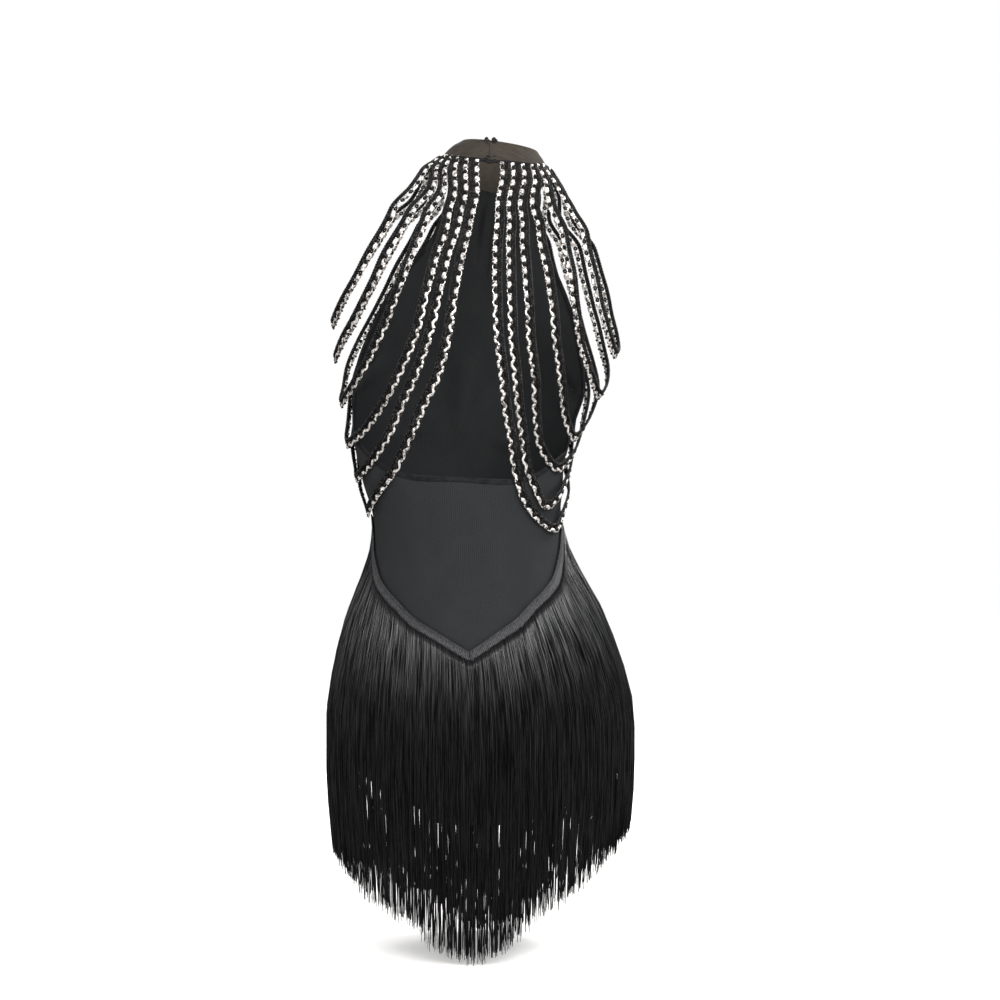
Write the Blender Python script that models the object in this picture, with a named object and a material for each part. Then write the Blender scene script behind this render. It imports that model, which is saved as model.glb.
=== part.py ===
"""Latin dance dress: a black stretch leotard held by a neckband, open at the back, with six braided
loops on each side and a fringe that hangs from a pointed tape round the hips. Metres, +Z up. The front
faces -Y, the wearer's left is +X, and the origin is the centre of the neckband."""

import math

import bpy
import numpy as np

# ---------------------------------------------------------------- driving sizes
CLOTH_WALL = 0.0012        # stretch jersey
SEAM_GAP = 0.0003
SEAM_RADIUS = 0.100
BAND_WALL = 0.0022         # folded and interfaced neckband
BAND_INNER = 0.0008        # the band stands this far out of the figure
BAND_TOP = 0.0107
SLIT_HALF = 0.0010         # centre-back opening of the neckband, half of it
TAPE_WIDTH = 0.0105        # heading tape of the fringe
TAPE_WALL = 0.0012
TAPE_INNER = CLOTH_WALL + 0.0007  # clear of the flat facets of the cloth below
TAPE_ABOVE = 0.0015        # its upper edge stands this far above the seam
LOCKS_PER_QUARTER = 50     # fringe locks between the centre line and the side
LOCK_SHARE = 0.76          # share of the pitch that a lock fills
LOCK_TIP = 0.85            # its width at the tip, as a share
LOCK_WALL = 0.0015
LOCK_BENDS = (0.012, 0.040)  # first bends of a lock below its root
LOCK_STEP = 0.050          # and the later ones, down to the hip
FRINGE_SPREAD = 0.0042     # the fringe stands off by this much more, FRINGE_SPREAD_FALL below its tape
FRINGE_SPREAD_FALL = 0.10
FRINGE_DRAW = 0.009        # and draws in by this at its tips, from FRINGE_DRAW_TOP down
FRINGE_DRAW_TOP = -0.640
FRINGE_DRAW_FALL = 0.14
LOOP_WIDTH = 0.0090        # braided loop trim
LOOP_WALL = 0.0020
LOOP_INNER = 0.0020        # its inner face, out of the figure
LOOP_LIFT = 0.0030         # more of it where a loop crosses the fringe tape, below LOOP_LIFT_TOP
LOOP_LIFT_TOP = -0.330
LOOP_LIFT_FALL = 0.025
LOOP_SIDE_SPREAD = 20.0    # degrees to each side of 90 over which LOOP_SIDE holds a loop off the figure
LOOP_STEP = 0.0195         # length of one facet of a loop
LOOP_END_GAP = 0.0006      # between its sewn end and the neckband
WIRE = 0.00045             # radius of the hook and eye wire
EYE_RADIUS = 0.0022
EYE_FACETS = 14
HOOK_LEVELS = {"upper": 0.0085, "lower": -0.0075}
HOOK_CLEAR = SEAM_GAP + 0.0001  # between a wire and what it lies on
# The hook's wire, from its sewn end to its nose, from the centre-back line and the cloth that it lies on.
HOOK_BOW_COLUMNS = ("right", "out", "up")
HOOK_BOW = (
    (0.0062, 0.0000, 0.0012), (0.0052, 0.0000, 0.0021), (0.0040, 0.0000, 0.0012),
    (0.0034, 0.0003, 0.0000), (0.0022, 0.0010, 0.0000), (0.0010, 0.0012, 0.0000),
    (-0.0006, 0.0012, 0.0000), (-0.0014, 0.0008, 0.0000), (-0.0016, 0.0002, 0.0000),
)
EYE_CENTRE = -0.0016       # towards the wearer's right

# Facets of the pieces. The body's columns are the same in each panel, so that seams meet point to point.
BAND_COLUMNS, BAND_ROWS = 44, 2
BODY_COLUMNS = 20
BACK_ROWS, BODICE_ROWS, BRIEF_ROWS = 11, 20, 14
BRIEF_CROWD = 0.07         # its rows crowd to the waist and the leg line, where the form changes fastest

# Colours and roughness.
BLACK_CLOTH, BLACK_TRIM, BLACK_WIRE = (0.022, 0.022, 0.024), (0.008, 0.008, 0.009), (0.020, 0.020, 0.020)
CLOTH_ROUGH, TRIM_ROUGH, WIRE_ROUGH = 0.80, 0.55, 0.35

# The general figure that the dress is cut for, as level sections. Angles run round each section:
# 0 is the centre back, 90 the wearer's left side, 180 the centre front. The station is the height, and
# below the seat the length along the cloth instead. "turn" turns the neck and the hips to the left.
FIGURE_COLUMNS = ("station", "height", "half_width", "back", "front", "shift", "tilt", "turn")
FIGURE = (
    (0.0200, 0.0200, 0.0335, 0.0440, 0.0420, -0.0080, 8.5, 17.0),
    (0.0107, 0.0107, 0.0380, 0.0455, 0.0435, -0.0055, 7.8, 14.5),
    (0.0029, 0.0029, 0.0466, 0.0490, 0.0460, -0.0022, 6.8, 8.2),
    (-0.0062, -0.0062, 0.0540, 0.0525, 0.0485, 0.0000, 5.6, 5.3),
    (-0.0150, -0.0150, 0.0660, 0.0560, 0.0505, 0.0005, 6.3, 3.5),
    (-0.030, -0.030, 0.0950, 0.0610, 0.0550, 0.0010, 8.0, 1.2),
    (-0.050, -0.050, 0.1350, 0.0690, 0.0630, 0.0020, 8.0, 0.0),
    (-0.075, -0.075, 0.1650, 0.0780, 0.0750, 0.0040, 7.5, 0.0),
    (-0.110, -0.110, 0.1700, 0.0880, 0.0900, 0.0090, 7.0, 0.0),
    (-0.150, -0.150, 0.1580, 0.0960, 0.1040, 0.0150, 6.5, 0.0),
    (-0.190, -0.190, 0.1435, 0.0990, 0.1100, 0.0205, 6.0, 0.0),
    (-0.230, -0.230, 0.1340, 0.0980, 0.1100, 0.0255, 5.5, 0.0),
    (-0.272, -0.272, 0.1190, 0.0940, 0.1040, 0.0330, 5.0, 0.0),
    (-0.310, -0.310, 0.1105, 0.0890, 0.0960, 0.0365, 4.0, 0.0),
    (-0.345, -0.345, 0.1050, 0.0850, 0.0900, 0.0335, 2.5, 0.5),
    (-0.385, -0.385, 0.0980, 0.0830, 0.0860, 0.0285, 1.0, 2.5),
    (-0.425, -0.425, 0.1040, 0.0890, 0.0880, 0.0250, 0.0, 5.0),
    (-0.467, -0.467, 0.1210, 0.1000, 0.0920, 0.0210, 0.0, 5.0),
    (-0.508, -0.508, 0.1355, 0.1090, 0.0950, 0.0185, 0.0, 3.2),
    (-0.550, -0.550, 0.1470, 0.1150, 0.0950, 0.0160, 0.0, 2.4),
    (-0.590, -0.590, 0.1535, 0.1170, 0.0930, 0.0145, 0.0, 2.2),
    (-0.630, -0.630, 0.1540, 0.1120, 0.0860, 0.0145, 0.0, 1.0),
    (-0.665, -0.663, 0.1530, 0.1000, 0.0730, 0.0145, 0.0, 0.0),
    (-0.695, -0.685, 0.1520, 0.0820, 0.0560, 0.0145, 0.0, 0.0),
    (-0.720, -0.696, 0.1510, 0.0600, 0.0380, 0.0145, 0.0, 0.0),
    (-0.745, -0.701, 0.1500, 0.0330, 0.0200, 0.0145, 0.0, 0.0),
    (-0.775, -0.702, 0.1500, 0.0000, 0.0000, 0.0145, 0.0, 0.0),
)
HIP_STATION = -0.590       # the fringe hangs straight down below this level
CROTCH_STATION = -0.775
# Bust cups of the front: how far out, how far from the centre line, level, half spread each way.
CUP_RISE, CUP_SIDE, CUP_LEVEL, CUP_WIDE, CUP_HIGH = 0.028, 0.062, -0.230, 0.047, 0.060

# Edges of the pieces.
EDGE_COLUMNS = ("angle from the centre back or front", "station")
BACK_TOP = ((0, -0.339), (32, -0.338), (46, -0.331), (60, -0.318), (75, -0.306), (90, -0.300))
HIP_SEAM = ((0, -0.518), (13, -0.499), (23, -0.486), (34, -0.4685), (43, -0.457), (54, -0.443),
            (67, -0.421), (78, -0.399), (90, -0.380))
BAND_BOTTOM = ((0, -0.0118), (45, -0.0098), (90, -0.0069), (135, -0.018), (165, -0.030), (180, -0.032))
# Half angle of the front from its centre line: the halter edge that the arms leave free.
HALTER_COLUMNS = ("station", "half_angle")
HALTER_EDGE = ((-0.020, 34), (-0.040, 25), (-0.070, 21), (-0.110, 28), (-0.150, 40), (-0.190, 53),
               (-0.230, 66), (-0.270, 79), (-0.300, 90))
# The leg line of the brief, back and front.
LEG_COLUMNS = ("station", "half_width")
BACK_LEG = ((-0.600, 0.1540), (-0.620, 0.1470), (-0.634, 0.1330), (-0.648, 0.1150), (-0.660, 0.0960),
            (-0.672, 0.0760), (-0.690, 0.0560), (-0.720, 0.0410), (-0.750, 0.0340), (-0.775, 0.0320))
FRONT_LEG = ((-0.600, 0.1535), (-0.618, 0.1380), (-0.635, 0.1120), (-0.652, 0.0850), (-0.672, 0.0640),
             (-0.695, 0.0480), (-0.720, 0.0390), (-0.750, 0.0340), (-0.775, 0.0320))
# Tips of the fringe.
FRINGE_TIP_COLUMNS = ("angle from the centre back or front", "height")
FRINGE_TIPS = ((0, -0.826), (8, -0.820), (14, -0.811), (20, -0.796), (28, -0.781), (36, -0.773),
               (47, -0.759), (57, -0.743), (70, -0.726), (90, -0.706))
TIP_SKEW = -0.010          # the wearer's left side hangs lower by this, the right higher
# Uneven tips: two waves from lock to lock.
TIP_WAVE_COLUMNS = ("height", "turn_per_lock", "start")
TIP_WAVES = ((0.0035, 2.4, 0.0), (0.0025, 5.3, 1.0))

# Loops, numbered from the outermost. Each has its angle at the neckband behind, at BACK_STATIONS on its
# way down, the angle and station of its lowest point, the angles at the last of FRONT_STATIONS on its way
# up, in the order of their heights downwards, and the angle at the neckband in front.
BACK_STATIONS = (-0.045, -0.080, -0.120, -0.160, -0.200, -0.240, -0.270, -0.300, -0.330, -0.355)
FRONT_STATIONS = (-0.045, -0.080, -0.120, -0.160, -0.200, -0.230, -0.260, -0.300, -0.340)
# How far the loops are held off the figure at the sides, at the height of their lowest points.
LOOP_SIDE_COLUMNS = ("station", "out")
LOOP_SIDE = ((-0.150, 0.0040), (-0.190, 0.0045), (-0.270, 0.0070), (-0.310, 0.0060), (-0.345, 0.0025),
             (-0.380, 0.0000))
LOOP_ROOTS_COLUMNS = ("loop", "back", "front")
LOOP_ROOTS = ((1, 68.0, 103.0), (2, 57.5, 119.8), (3, 47.0, 134.5), (4, 36.0, 149.0), (5, 25.3, 161.5),
              (6, 14.6, 172.3))
LOOP_COLUMNS = ("side", "loop", "back angles", "lowest angle", "lowest station", "front angles")
LOOPS = (
    ("left", 1, (38.5, 37.5, 44.0, 60.0), 90, -0.189, (140, 138, 130, 113)),
    ("left", 2, (29.5, 30.2, 36.5, 47.0, 67.0), 90, -0.224, (147, 145, 139, 127, 108)),
    ("left", 3, (24.0, 23.4, 26.4, 33.0, 42.0, 57.0), 90, -0.267, (153, 152, 146, 136, 121, 109, 97)),
    ("left", 4, (18.8, 15.6, 17.4, 20.8, 25.0, 33.0, 43.0, 64.0), 90, -0.306,
     (159, 158, 152, 143, 129, 118, 108, 95)),
    ("left", 5, (13.6, 11.6, 13.4, 15.7, 19.0, 24.5, 31.5, 40.0, 61.0), 90, -0.341,
     (165, 163.5, 158, 150, 137, 127, 117, 105)),
    ("left", 6, (8.3, 7.6, 8.5, 9.7, 11.0, 14.3, 20.0, 26.5, 37.0, 54.0), 90, -0.375,
     (171, 169, 165, 157, 146, 136, 126, 114, 101)),
    ("right", 1, (38.5, 36.5, 42.5, 57.0), 82, -0.189, (140, 138, 130, 113)),
    ("right", 2, (28.5, 27.5, 32.5, 41.0, 54.0), 80, -0.2345, (147, 145, 139, 125, 104)),
    ("right", 3, (20.3, 18.6, 23.2, 30.3, 38.0, 48.0, 63.0), 75, -0.2830, (153, 152, 146, 135, 118, 104, 92)),
    ("right", 4, (14.8, 12.6, 15.2, 20.0, 25.3, 32.4, 39.5, 48.3), 65, -0.3210,
     (159, 158, 152, 142, 127, 114, 102, 86)),
    ("right", 5, (9.6, 7.9, 9.7, 13.2, 17.4, 23.1, 30.0, 36.5, 41.5), 54, -0.3635,
     (165, 163.5, 158, 149, 136, 124, 113, 100, 76)),
    ("right", 6, (4.6, 3.6, 4.8, 7.6, 11.4, 16.9, 23.0, 29.3, 32.8, 36.6), 63, -0.3905,
     (171, 169, 165, 157, 145, 134, 124, 112, 93)),
)

for item in list(bpy.data.objects):
    bpy.data.objects.remove(item, do_unlink=True)


# ---------------------------------------------------------------- curves and the figure
def smooth_curve(xs, ys):
    """A smooth function through a table, with no overshoot between its rows."""
    xs, ys = np.array(xs, float), np.array(ys, float)
    if xs[0] > xs[-1]:
        xs, ys = xs[::-1], ys[::-1]
    step, rise = np.diff(xs), np.diff(ys)
    slope = rise / step
    lean = np.zeros(len(xs))
    lean[0], lean[-1] = slope[0], slope[-1]
    for i in range(1, len(xs) - 1):
        if slope[i - 1] * slope[i] > 0:
            w1, w2 = 2 * step[i] + step[i - 1], step[i] + 2 * step[i - 1]
            lean[i] = (w1 + w2) / (w1 / slope[i - 1] + w2 / slope[i])

    def value(x):
        x = min(max(x, xs[0]), xs[-1])
        i = min(max(int(np.searchsorted(xs, x)) - 1, 0), len(step) - 1)
        t = (x - xs[i]) / step[i]
        return float(
            ys[i] * (1 + 2 * t) * (1 - t) ** 2 + lean[i] * step[i] * t * (1 - t) ** 2
            + ys[i + 1] * t * t * (3 - 2 * t) + lean[i + 1] * step[i] * t * t * (t - 1)
        )

    return value


def table(rows):
    return smooth_curve([r[0] for r in rows], [r[1] for r in rows])


section = {
    name: smooth_curve([r[0] for r in FIGURE], [r[k] for r in FIGURE])
    for k, name in enumerate(FIGURE_COLUMNS)
}
back_top, hip_seam, band_bottom = table(BACK_TOP), table(HIP_SEAM), table(BAND_BOTTOM)
halter_edge, fringe_tips, loop_side = table(HALTER_EDGE), table(FRINGE_TIPS), table(LOOP_SIDE)
leg_line = {"back": table(BACK_LEG), "front": table(FRONT_LEG)}


def ease(x):
    x = min(max(x, 0.0), 1.0)
    return x * x * (3 - 2 * x)


def on_figure(angle, station, height=None):
    """A point of the figure. A height of its own lets the fringe hang below its section."""
    a = math.radians(angle + section["turn"](station))
    s, c = math.sin(a), math.cos(a)
    level = section["height"](station)
    x = section["half_width"](station) * s
    y = (section["back"] if c > 0 else section["front"])(station) * c
    if c < 0:
        for side in (-1, 1):
            across, up = (x - side * CUP_SIDE) / CUP_WIDE, (level - CUP_LEVEL) / CUP_HIGH
            y -= CUP_RISE * c * c * math.exp(-across * across - up * up)
    z = (level if height is None else height) + math.tan(math.radians(section["tilt"](station))) * x
    return np.array((section["shift"](station) + x, y, z))


def outward(angle, station):
    """The figure's normal there."""
    round_it = on_figure(angle + 0.5, station) - on_figure(angle - 0.5, station)
    down = on_figure(angle, station - 0.0015) - on_figure(angle, station + 0.0015)
    n = np.cross(round_it, down)
    return n / np.linalg.norm(n)


def off_figure(angle, station, out):
    return on_figure(angle, station) + outward(angle, station) * out


# ---------------------------------------------------------------- making solids
def material(name, colour, roughness):
    m = bpy.data.materials.new(name)
    m.use_nodes = True
    shader = m.node_tree.nodes["Principled BSDF"]
    shader.inputs["Base Color"].default_value = (*colour, 1)
    shader.inputs["Roughness"].default_value = roughness
    return m


def solid(name, points, faces, colour, roughness, sharp=30):
    mesh = bpy.data.meshes.new(name)
    mesh.from_pydata([tuple(p) for p in points], [], faces)
    mesh.materials.append(material(name + "_material", colour, roughness))
    obj = bpy.data.objects.new(name, mesh)
    bpy.context.collection.objects.link(obj)
    bpy.ops.object.select_all(action="DESELECT")
    obj.select_set(True)
    bpy.context.view_layer.objects.active = obj
    bpy.ops.object.mode_set(mode="EDIT")
    bpy.ops.mesh.select_all(action="SELECT")
    bpy.ops.mesh.normals_make_consistent(inside=False)
    bpy.ops.object.mode_set(mode="OBJECT")
    bpy.ops.object.shade_smooth_by_angle(angle=math.radians(sharp))
    return obj


def wall(name, place, columns, rows, inner, outer, colour, roughness):
    """A cloth piece: place(i, j) gives (angle, station) over its grid, closed between two offsets."""
    points = []
    for out in (inner, outer):
        for j in range(rows + 1):
            points += [off_figure(*place(i / columns, j / rows), out) for i in range(columns + 1)]
    across, layer = columns + 1, (columns + 1) * (rows + 1)
    faces = []
    for j in range(rows):
        for i in range(columns):
            a = j * across + i
            faces.append((a, a + 1, a + across + 1, a + across))
            faces.append(tuple(layer + k for k in (a, a + across, a + across + 1, a + 1)))
    rim = [i for i in range(across)]
    rim += [j * across + columns for j in range(1, rows + 1)]
    rim += [rows * across + i for i in range(columns - 1, -1, -1)]
    rim += [j * across for j in range(rows - 1, 0, -1)]
    for a, b in zip(rim, rim[1:] + rim[:1]):
        faces.append((a, b, layer + b, layer + a))
    return solid(name, points, faces, colour, roughness)


# Half angle of a panel up to the side seam, where the waist is SEAM_RADIUS from its axis.
SIDE_SEAM = 90 - math.degrees(SEAM_GAP / 2 / SEAM_RADIUS)


# ---------------------------------------------------------------- neckband
slit = math.degrees(SLIT_HALF / section["back"](BAND_TOP))
band_angles = np.linspace(slit, 360 - slit, BAND_COLUMNS + 1)
band_lows = [band_bottom(min(angle, 360 - angle)) for angle in band_angles]


def band_edge(angle):
    """The band's lower edge as its facets give it, for what is sewn to it."""
    return float(np.interp(angle % 360, band_angles, band_lows))


def band_place(i, j):
    angle = slit + i * (360 - 2 * slit)
    return angle, BAND_TOP + j * (band_edge(angle) - BAND_TOP)


wall("neckband", band_place, BAND_COLUMNS, BAND_ROWS, BAND_INNER, BAND_INNER + BAND_WALL,
     BLACK_CLOTH, CLOTH_ROUGH)


# ---------------------------------------------------------------- hooks and eyes of the neckband
def wire(name, path, closed):
    """A bent wire of six sides along a path of (across, out, up) from the centre-back line."""
    path = [np.array(p) for p in path]
    count, sides = len(path), 6
    points, faces = [], []
    for k, p in enumerate(path):
        before = path[k - 1] if closed or k else p
        after = path[(k + 1) % count] if closed or k < count - 1 else p
        along = (after - before) / np.linalg.norm(after - before)
        first = np.cross(along, (0.0, 0.0, 1.0))
        if np.linalg.norm(first) < 0.3:
            first = np.cross(along, (0.0, 1.0, 0.0))
        first /= np.linalg.norm(first)
        second = np.cross(along, first)
        for n in range(sides):
            t = 2 * math.pi * n / sides
            points.append(p + WIRE * (math.cos(t) * first + math.sin(t) * second))
    for k in range(count if closed else count - 1):
        for n in range(sides):
            a, b = k * sides + n, k * sides + (n + 1) % sides
            c, d = (k + 1) % count * sides + (n + 1) % sides, (k + 1) % count * sides + n
            faces.append((a, b, c, d))
    if not closed:
        faces += [tuple(range(sides)), tuple(range(count * sides - sides, count * sides))[::-1]]
    solid(name, points, faces, BLACK_WIRE, WIRE_ROUGH, sharp=60)


for level_name, level in HOOK_LEVELS.items():
    base = off_figure(0, level, BAND_INNER + BAND_WALL)
    out = outward(0, level)
    right = on_figure(-1, level) - on_figure(1, level)  # towards the wearer's right
    right /= np.linalg.norm(right)
    up = np.cross(out, right)

    def at(across, away, higher, base=base, up=up, out=out):
        return base + right * across + out * away + up * higher

    lie = WIRE + HOOK_CLEAR
    ring = [at(EYE_CENTRE + EYE_RADIUS * math.cos(t), lie, EYE_RADIUS * math.sin(t))
            for t in np.linspace(0, 2 * math.pi, EYE_FACETS, endpoint=False)]
    wire("eye_" + level_name, ring, True)
    wire("hook_" + level_name, [at(across, lie + away, higher) for across, away, higher in HOOK_BOW], False)


# ---------------------------------------------------------------- body of the leotard
def back_panel_place(i, j):
    angle = (2 * i - 1) * SIDE_SEAM
    top, low = back_top(abs(angle)), hip_seam(abs(angle)) + SEAM_GAP * 0.8
    return angle, top + j * (low - top)


wall("back_panel", back_panel_place, BODY_COLUMNS, BACK_ROWS, 0, CLOTH_WALL, BLACK_CLOTH, CLOTH_ROUGH)


def front_half_angle(station):
    return min(halter_edge(station), SIDE_SEAM)


def front_bodice_place(i, j):
    f = 2 * i - 1
    top = BAND_BOTTOM[-1][1]
    for _ in range(4):
        top = band_edge(180 + f * front_half_angle(top)) - SEAM_GAP * 1.3
    low = hip_seam(abs(f) * SIDE_SEAM) + SEAM_GAP * 0.8
    station = top + j * (low - top)
    return 180 + f * front_half_angle(station), station


wall("front_bodice", front_bodice_place, BODY_COLUMNS, BODICE_ROWS, 0, CLOTH_WALL, BLACK_CLOTH, CLOTH_ROUGH)


def brief_place(side, i, j):
    f = 2 * i - 1
    top = hip_seam(abs(f) * SIDE_SEAM) - SEAM_GAP * 0.8
    down = j - BRIEF_CROWD * math.sin(2 * math.pi * j)
    station = top + down * (CROTCH_STATION + SEAM_GAP / 2 - top)
    width = leg_line[side](station) / section["half_width"](station)
    half = min(math.degrees(math.asin(min(width, 1.0))), SIDE_SEAM)
    return (0 if side == "back" else 180) + f * half, station


for side in ("back", "front"):
    wall(side + "_brief", lambda i, j, side=side: brief_place(side, i, j), BODY_COLUMNS, BRIEF_ROWS,
         0, CLOTH_WALL, BLACK_CLOTH, CLOTH_ROUGH)


# ---------------------------------------------------------------- fringe on its heading tape
def hanging(angle, height, root, out):
    """A point of the fringe: down the hip, then straight down, drawn in a little at the tips."""
    station = max(height, HIP_STATION)
    level = on_figure(angle, station)
    lean = outward(angle, station) * np.array((1, 1, 0))
    lean /= lean @ lean
    stand = (out + FRINGE_SPREAD * ease((root - height) / FRINGE_SPREAD_FALL)
             - FRINGE_DRAW * ease((FRINGE_DRAW_TOP - height) / FRINGE_DRAW_FALL))
    tilt = level[2] - section["height"](station)
    return np.array((level[0], level[1], height + tilt)) + lean * stand


def fringe(name, start, end):
    """Locks between two angles, each grown out of the lower edge of its tape."""
    count = LOCKS_PER_QUARTER
    points, faces = [], []
    turns = [start + (end - start) * k / count for k in range(count + 1)]

    def seam_at(turn):
        return hip_seam(min(abs(turn), abs(180 - abs(turn))))

    for k, turn in enumerate(turns):
        top = seam_at(turn) + TAPE_ABOVE
        slope = (seam_at(turn + 1) - seam_at(turn - 1)) / np.linalg.norm(
            on_figure(turn + 1, top)[:2] - on_figure(turn - 1, top)[:2])
        low = top - TAPE_WIDTH * math.hypot(1, slope)
        for station in (top, low):
            points += [off_figure(turn, station, TAPE_INNER + depth) for depth in (0, TAPE_WALL)]
        a = 4 * k  # this column's points: top inner, top outer, low inner, low outer
        if k:
            b = a - 4
            faces += [(b, a, a + 1, b + 1), (b + 1, a + 1, a + 3, b + 3), (b, b + 2, a + 2, a)]
    faces += [(0, 1, 3, 2), (4 * count, 4 * count + 2, 4 * count + 3, 4 * count + 1)]
    for k in range(count):
        middle, half = (turns[k] + turns[k + 1]) / 2, (turns[k + 1] - turns[k]) / 2 * LOCK_SHARE
        from_line = min(abs(middle), abs(180 - abs(middle)))
        root = (points[4 * k + 2][2] + points[4 * k + 6][2]) / 2
        wave = sum(high * math.sin(turn * k + start_at) for high, turn, start_at in TIP_WAVES)
        tip = fringe_tips(from_line) + TIP_SKEW * math.sin(math.radians(middle)) + wave
        length = root - tip
        to_hip = root - HIP_STATION
        first_bend = LOCK_BENDS[-1]
        bends = round((to_hip - first_bend) / LOCK_STEP)
        drops = [*LOCK_BENDS, *np.linspace(first_bend, to_hip, 1 + bends)[1:]]
        ring = (4 * k + 3, 4 * k + 7, 4 * k + 6, 4 * k + 2)  # outer, outer, inner, inner
        for drop in sorted({*drops, to_hip, length}):
            height = root - drop
            thin = half * (LOCK_TIP if drop == length else 1.0)
            new = len(points)
            points += [hanging(middle - thin, height, root, TAPE_INNER + LOCK_WALL),
                       hanging(middle + thin, height, root, TAPE_INNER + LOCK_WALL),
                       hanging(middle, height, root, TAPE_INNER)]
            if len(ring) == 4:
                faces += [(ring[0], ring[1], new + 1, new), (ring[1], ring[2], new + 2, new + 1),
                          (ring[3], ring[0], new, new + 2), (ring[2], ring[3], new + 2)]
            else:
                for n in range(3):
                    m = (n + 1) % 3
                    faces.append((ring[n], ring[m], new + m, new + n))
            ring = (new, new + 1, new + 2)
        faces.append(ring)
    solid(name, points, faces, BLACK_TRIM, TRIM_ROUGH)


seam = 90 - SIDE_SEAM
fringe("fringe_back_left", seam, 90 - seam)
fringe("fringe_back_right", -90 + seam, -seam)
fringe("fringe_front_left", 90 + seam, 180 - seam)
fringe("fringe_front_right", 180 + seam, 270 - seam)


# ---------------------------------------------------------------- braided loops
def spline(rows, spacing):
    """Even points along a smooth curve through (angle, station) rows, with the last row included."""
    rows = np.array(rows, float)
    placed = np.array([on_figure(*r) for r in rows])
    along = np.concatenate([[0], np.cumsum(np.linalg.norm(np.diff(placed, axis=0), axis=1))])
    lean = np.gradient(rows, along, axis=0)

    def at(s):
        i = min(max(int(np.searchsorted(along, s)) - 1, 0), len(along) - 2)
        h = along[i + 1] - along[i]
        t = (s - along[i]) / h
        return (rows[i] * (1 + 2 * t) * (1 - t) ** 2 + lean[i] * h * t * (1 - t) ** 2
                + rows[i + 1] * t * t * (3 - 2 * t) + lean[i + 1] * h * t * t * (t - 1))

    count = round(along[-1] / spacing)
    return [at(along[-1] * k / count) for k in range(count + 1)]


def loop(side, number, back_angles, lowest_angle, lowest_station, front_angles):
    back_root, front_root = LOOP_ROOTS[number - 1][1:]
    rows = [(back_root, band_edge(back_root) - LOOP_END_GAP)]
    rows += list(zip(back_angles, BACK_STATIONS))
    rows.append((lowest_angle, lowest_station))
    rows += list(zip(front_angles, FRONT_STATIONS))[::-1]
    rows.append((front_root, band_edge(front_root) - LOOP_END_GAP))
    sign = 1 if side == "left" else -1
    path = [(sign * angle, station) for angle, station in spline(rows, LOOP_STEP)]
    centre = []
    for angle, station in path:
        lift = LOOP_LIFT * ease((LOOP_LIFT_TOP - station) / LOOP_LIFT_FALL)
        lift += loop_side(station) * math.exp(-((abs(angle) - 90) / LOOP_SIDE_SPREAD) ** 2)
        centre.append(off_figure(angle, station, LOOP_INNER + LOOP_WALL / 2 + lift))
    points, faces = [], []
    for k, p in enumerate(centre):
        along = centre[min(k + 1, len(centre) - 1)] - centre[max(k - 1, 0)]
        n = outward(*path[k])
        across = np.cross(along, n)
        across /= np.linalg.norm(across)
        n = np.cross(across, along)
        n /= np.linalg.norm(n)
        if k in (0, len(centre) - 1):  # cut along the band that it is sewn to
            turn_at = abs(path[k][0])
            edge = (on_figure(sign * (turn_at + 1), band_edge(turn_at + 1))
                    - on_figure(sign * (turn_at - 1), band_edge(turn_at - 1)))
            across = edge / np.linalg.norm(edge) * math.copysign(1, edge @ across)
        half, thick = across * LOOP_WIDTH / 2, n * LOOP_WALL / 2
        points += [p - half - thick, p + half - thick, p + half + thick, p - half + thick]
        if k:
            a = 4 * k
            for m in range(4):
                q = (m + 1) % 4
                faces.append((a - 4 + m, a - 4 + q, a + q, a + m))
    last = 4 * (len(centre) - 1)
    faces += [(0, 1, 2, 3), (last + 3, last + 2, last + 1, last)]
    solid(f"loop_{side}_{number}", points, faces, BLACK_TRIM, TRIM_ROUGH)


for row in LOOPS:
    loop(*row)
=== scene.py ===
import math

import bpy
import numpy as np
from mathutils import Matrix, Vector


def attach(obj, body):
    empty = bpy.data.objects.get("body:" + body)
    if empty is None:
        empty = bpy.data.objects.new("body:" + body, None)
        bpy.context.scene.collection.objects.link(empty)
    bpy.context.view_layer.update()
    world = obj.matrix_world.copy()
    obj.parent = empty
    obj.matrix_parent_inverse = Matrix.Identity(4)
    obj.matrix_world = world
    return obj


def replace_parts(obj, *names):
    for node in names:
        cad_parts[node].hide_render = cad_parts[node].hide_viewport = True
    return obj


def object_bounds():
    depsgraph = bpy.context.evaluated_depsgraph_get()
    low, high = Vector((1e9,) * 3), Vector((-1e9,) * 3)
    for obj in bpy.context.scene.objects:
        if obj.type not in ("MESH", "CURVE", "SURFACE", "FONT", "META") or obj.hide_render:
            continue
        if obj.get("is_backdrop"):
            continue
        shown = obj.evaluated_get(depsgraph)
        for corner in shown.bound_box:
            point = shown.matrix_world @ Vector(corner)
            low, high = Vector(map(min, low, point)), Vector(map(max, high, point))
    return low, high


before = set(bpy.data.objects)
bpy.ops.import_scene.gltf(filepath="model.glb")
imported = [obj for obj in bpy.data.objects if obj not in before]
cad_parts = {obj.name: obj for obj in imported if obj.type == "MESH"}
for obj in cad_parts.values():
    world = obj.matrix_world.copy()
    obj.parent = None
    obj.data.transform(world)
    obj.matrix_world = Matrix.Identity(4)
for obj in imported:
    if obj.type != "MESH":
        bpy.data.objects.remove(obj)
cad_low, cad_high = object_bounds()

# ---------------- studio
# The dress hangs just over a sheet of white paper in a white room, with soft boxes over it on every side,
# the stronger ones to the wearer's right. The camera stands behind the dress, level.
FLOOR_DROP, FLOOR_SIZE = 0.005, 14
CAMERA_PLACE = (-0.0062, 2.600, -0.3619)
CAMERA_ANGLE = 23.05  # degrees, of the square view
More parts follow.
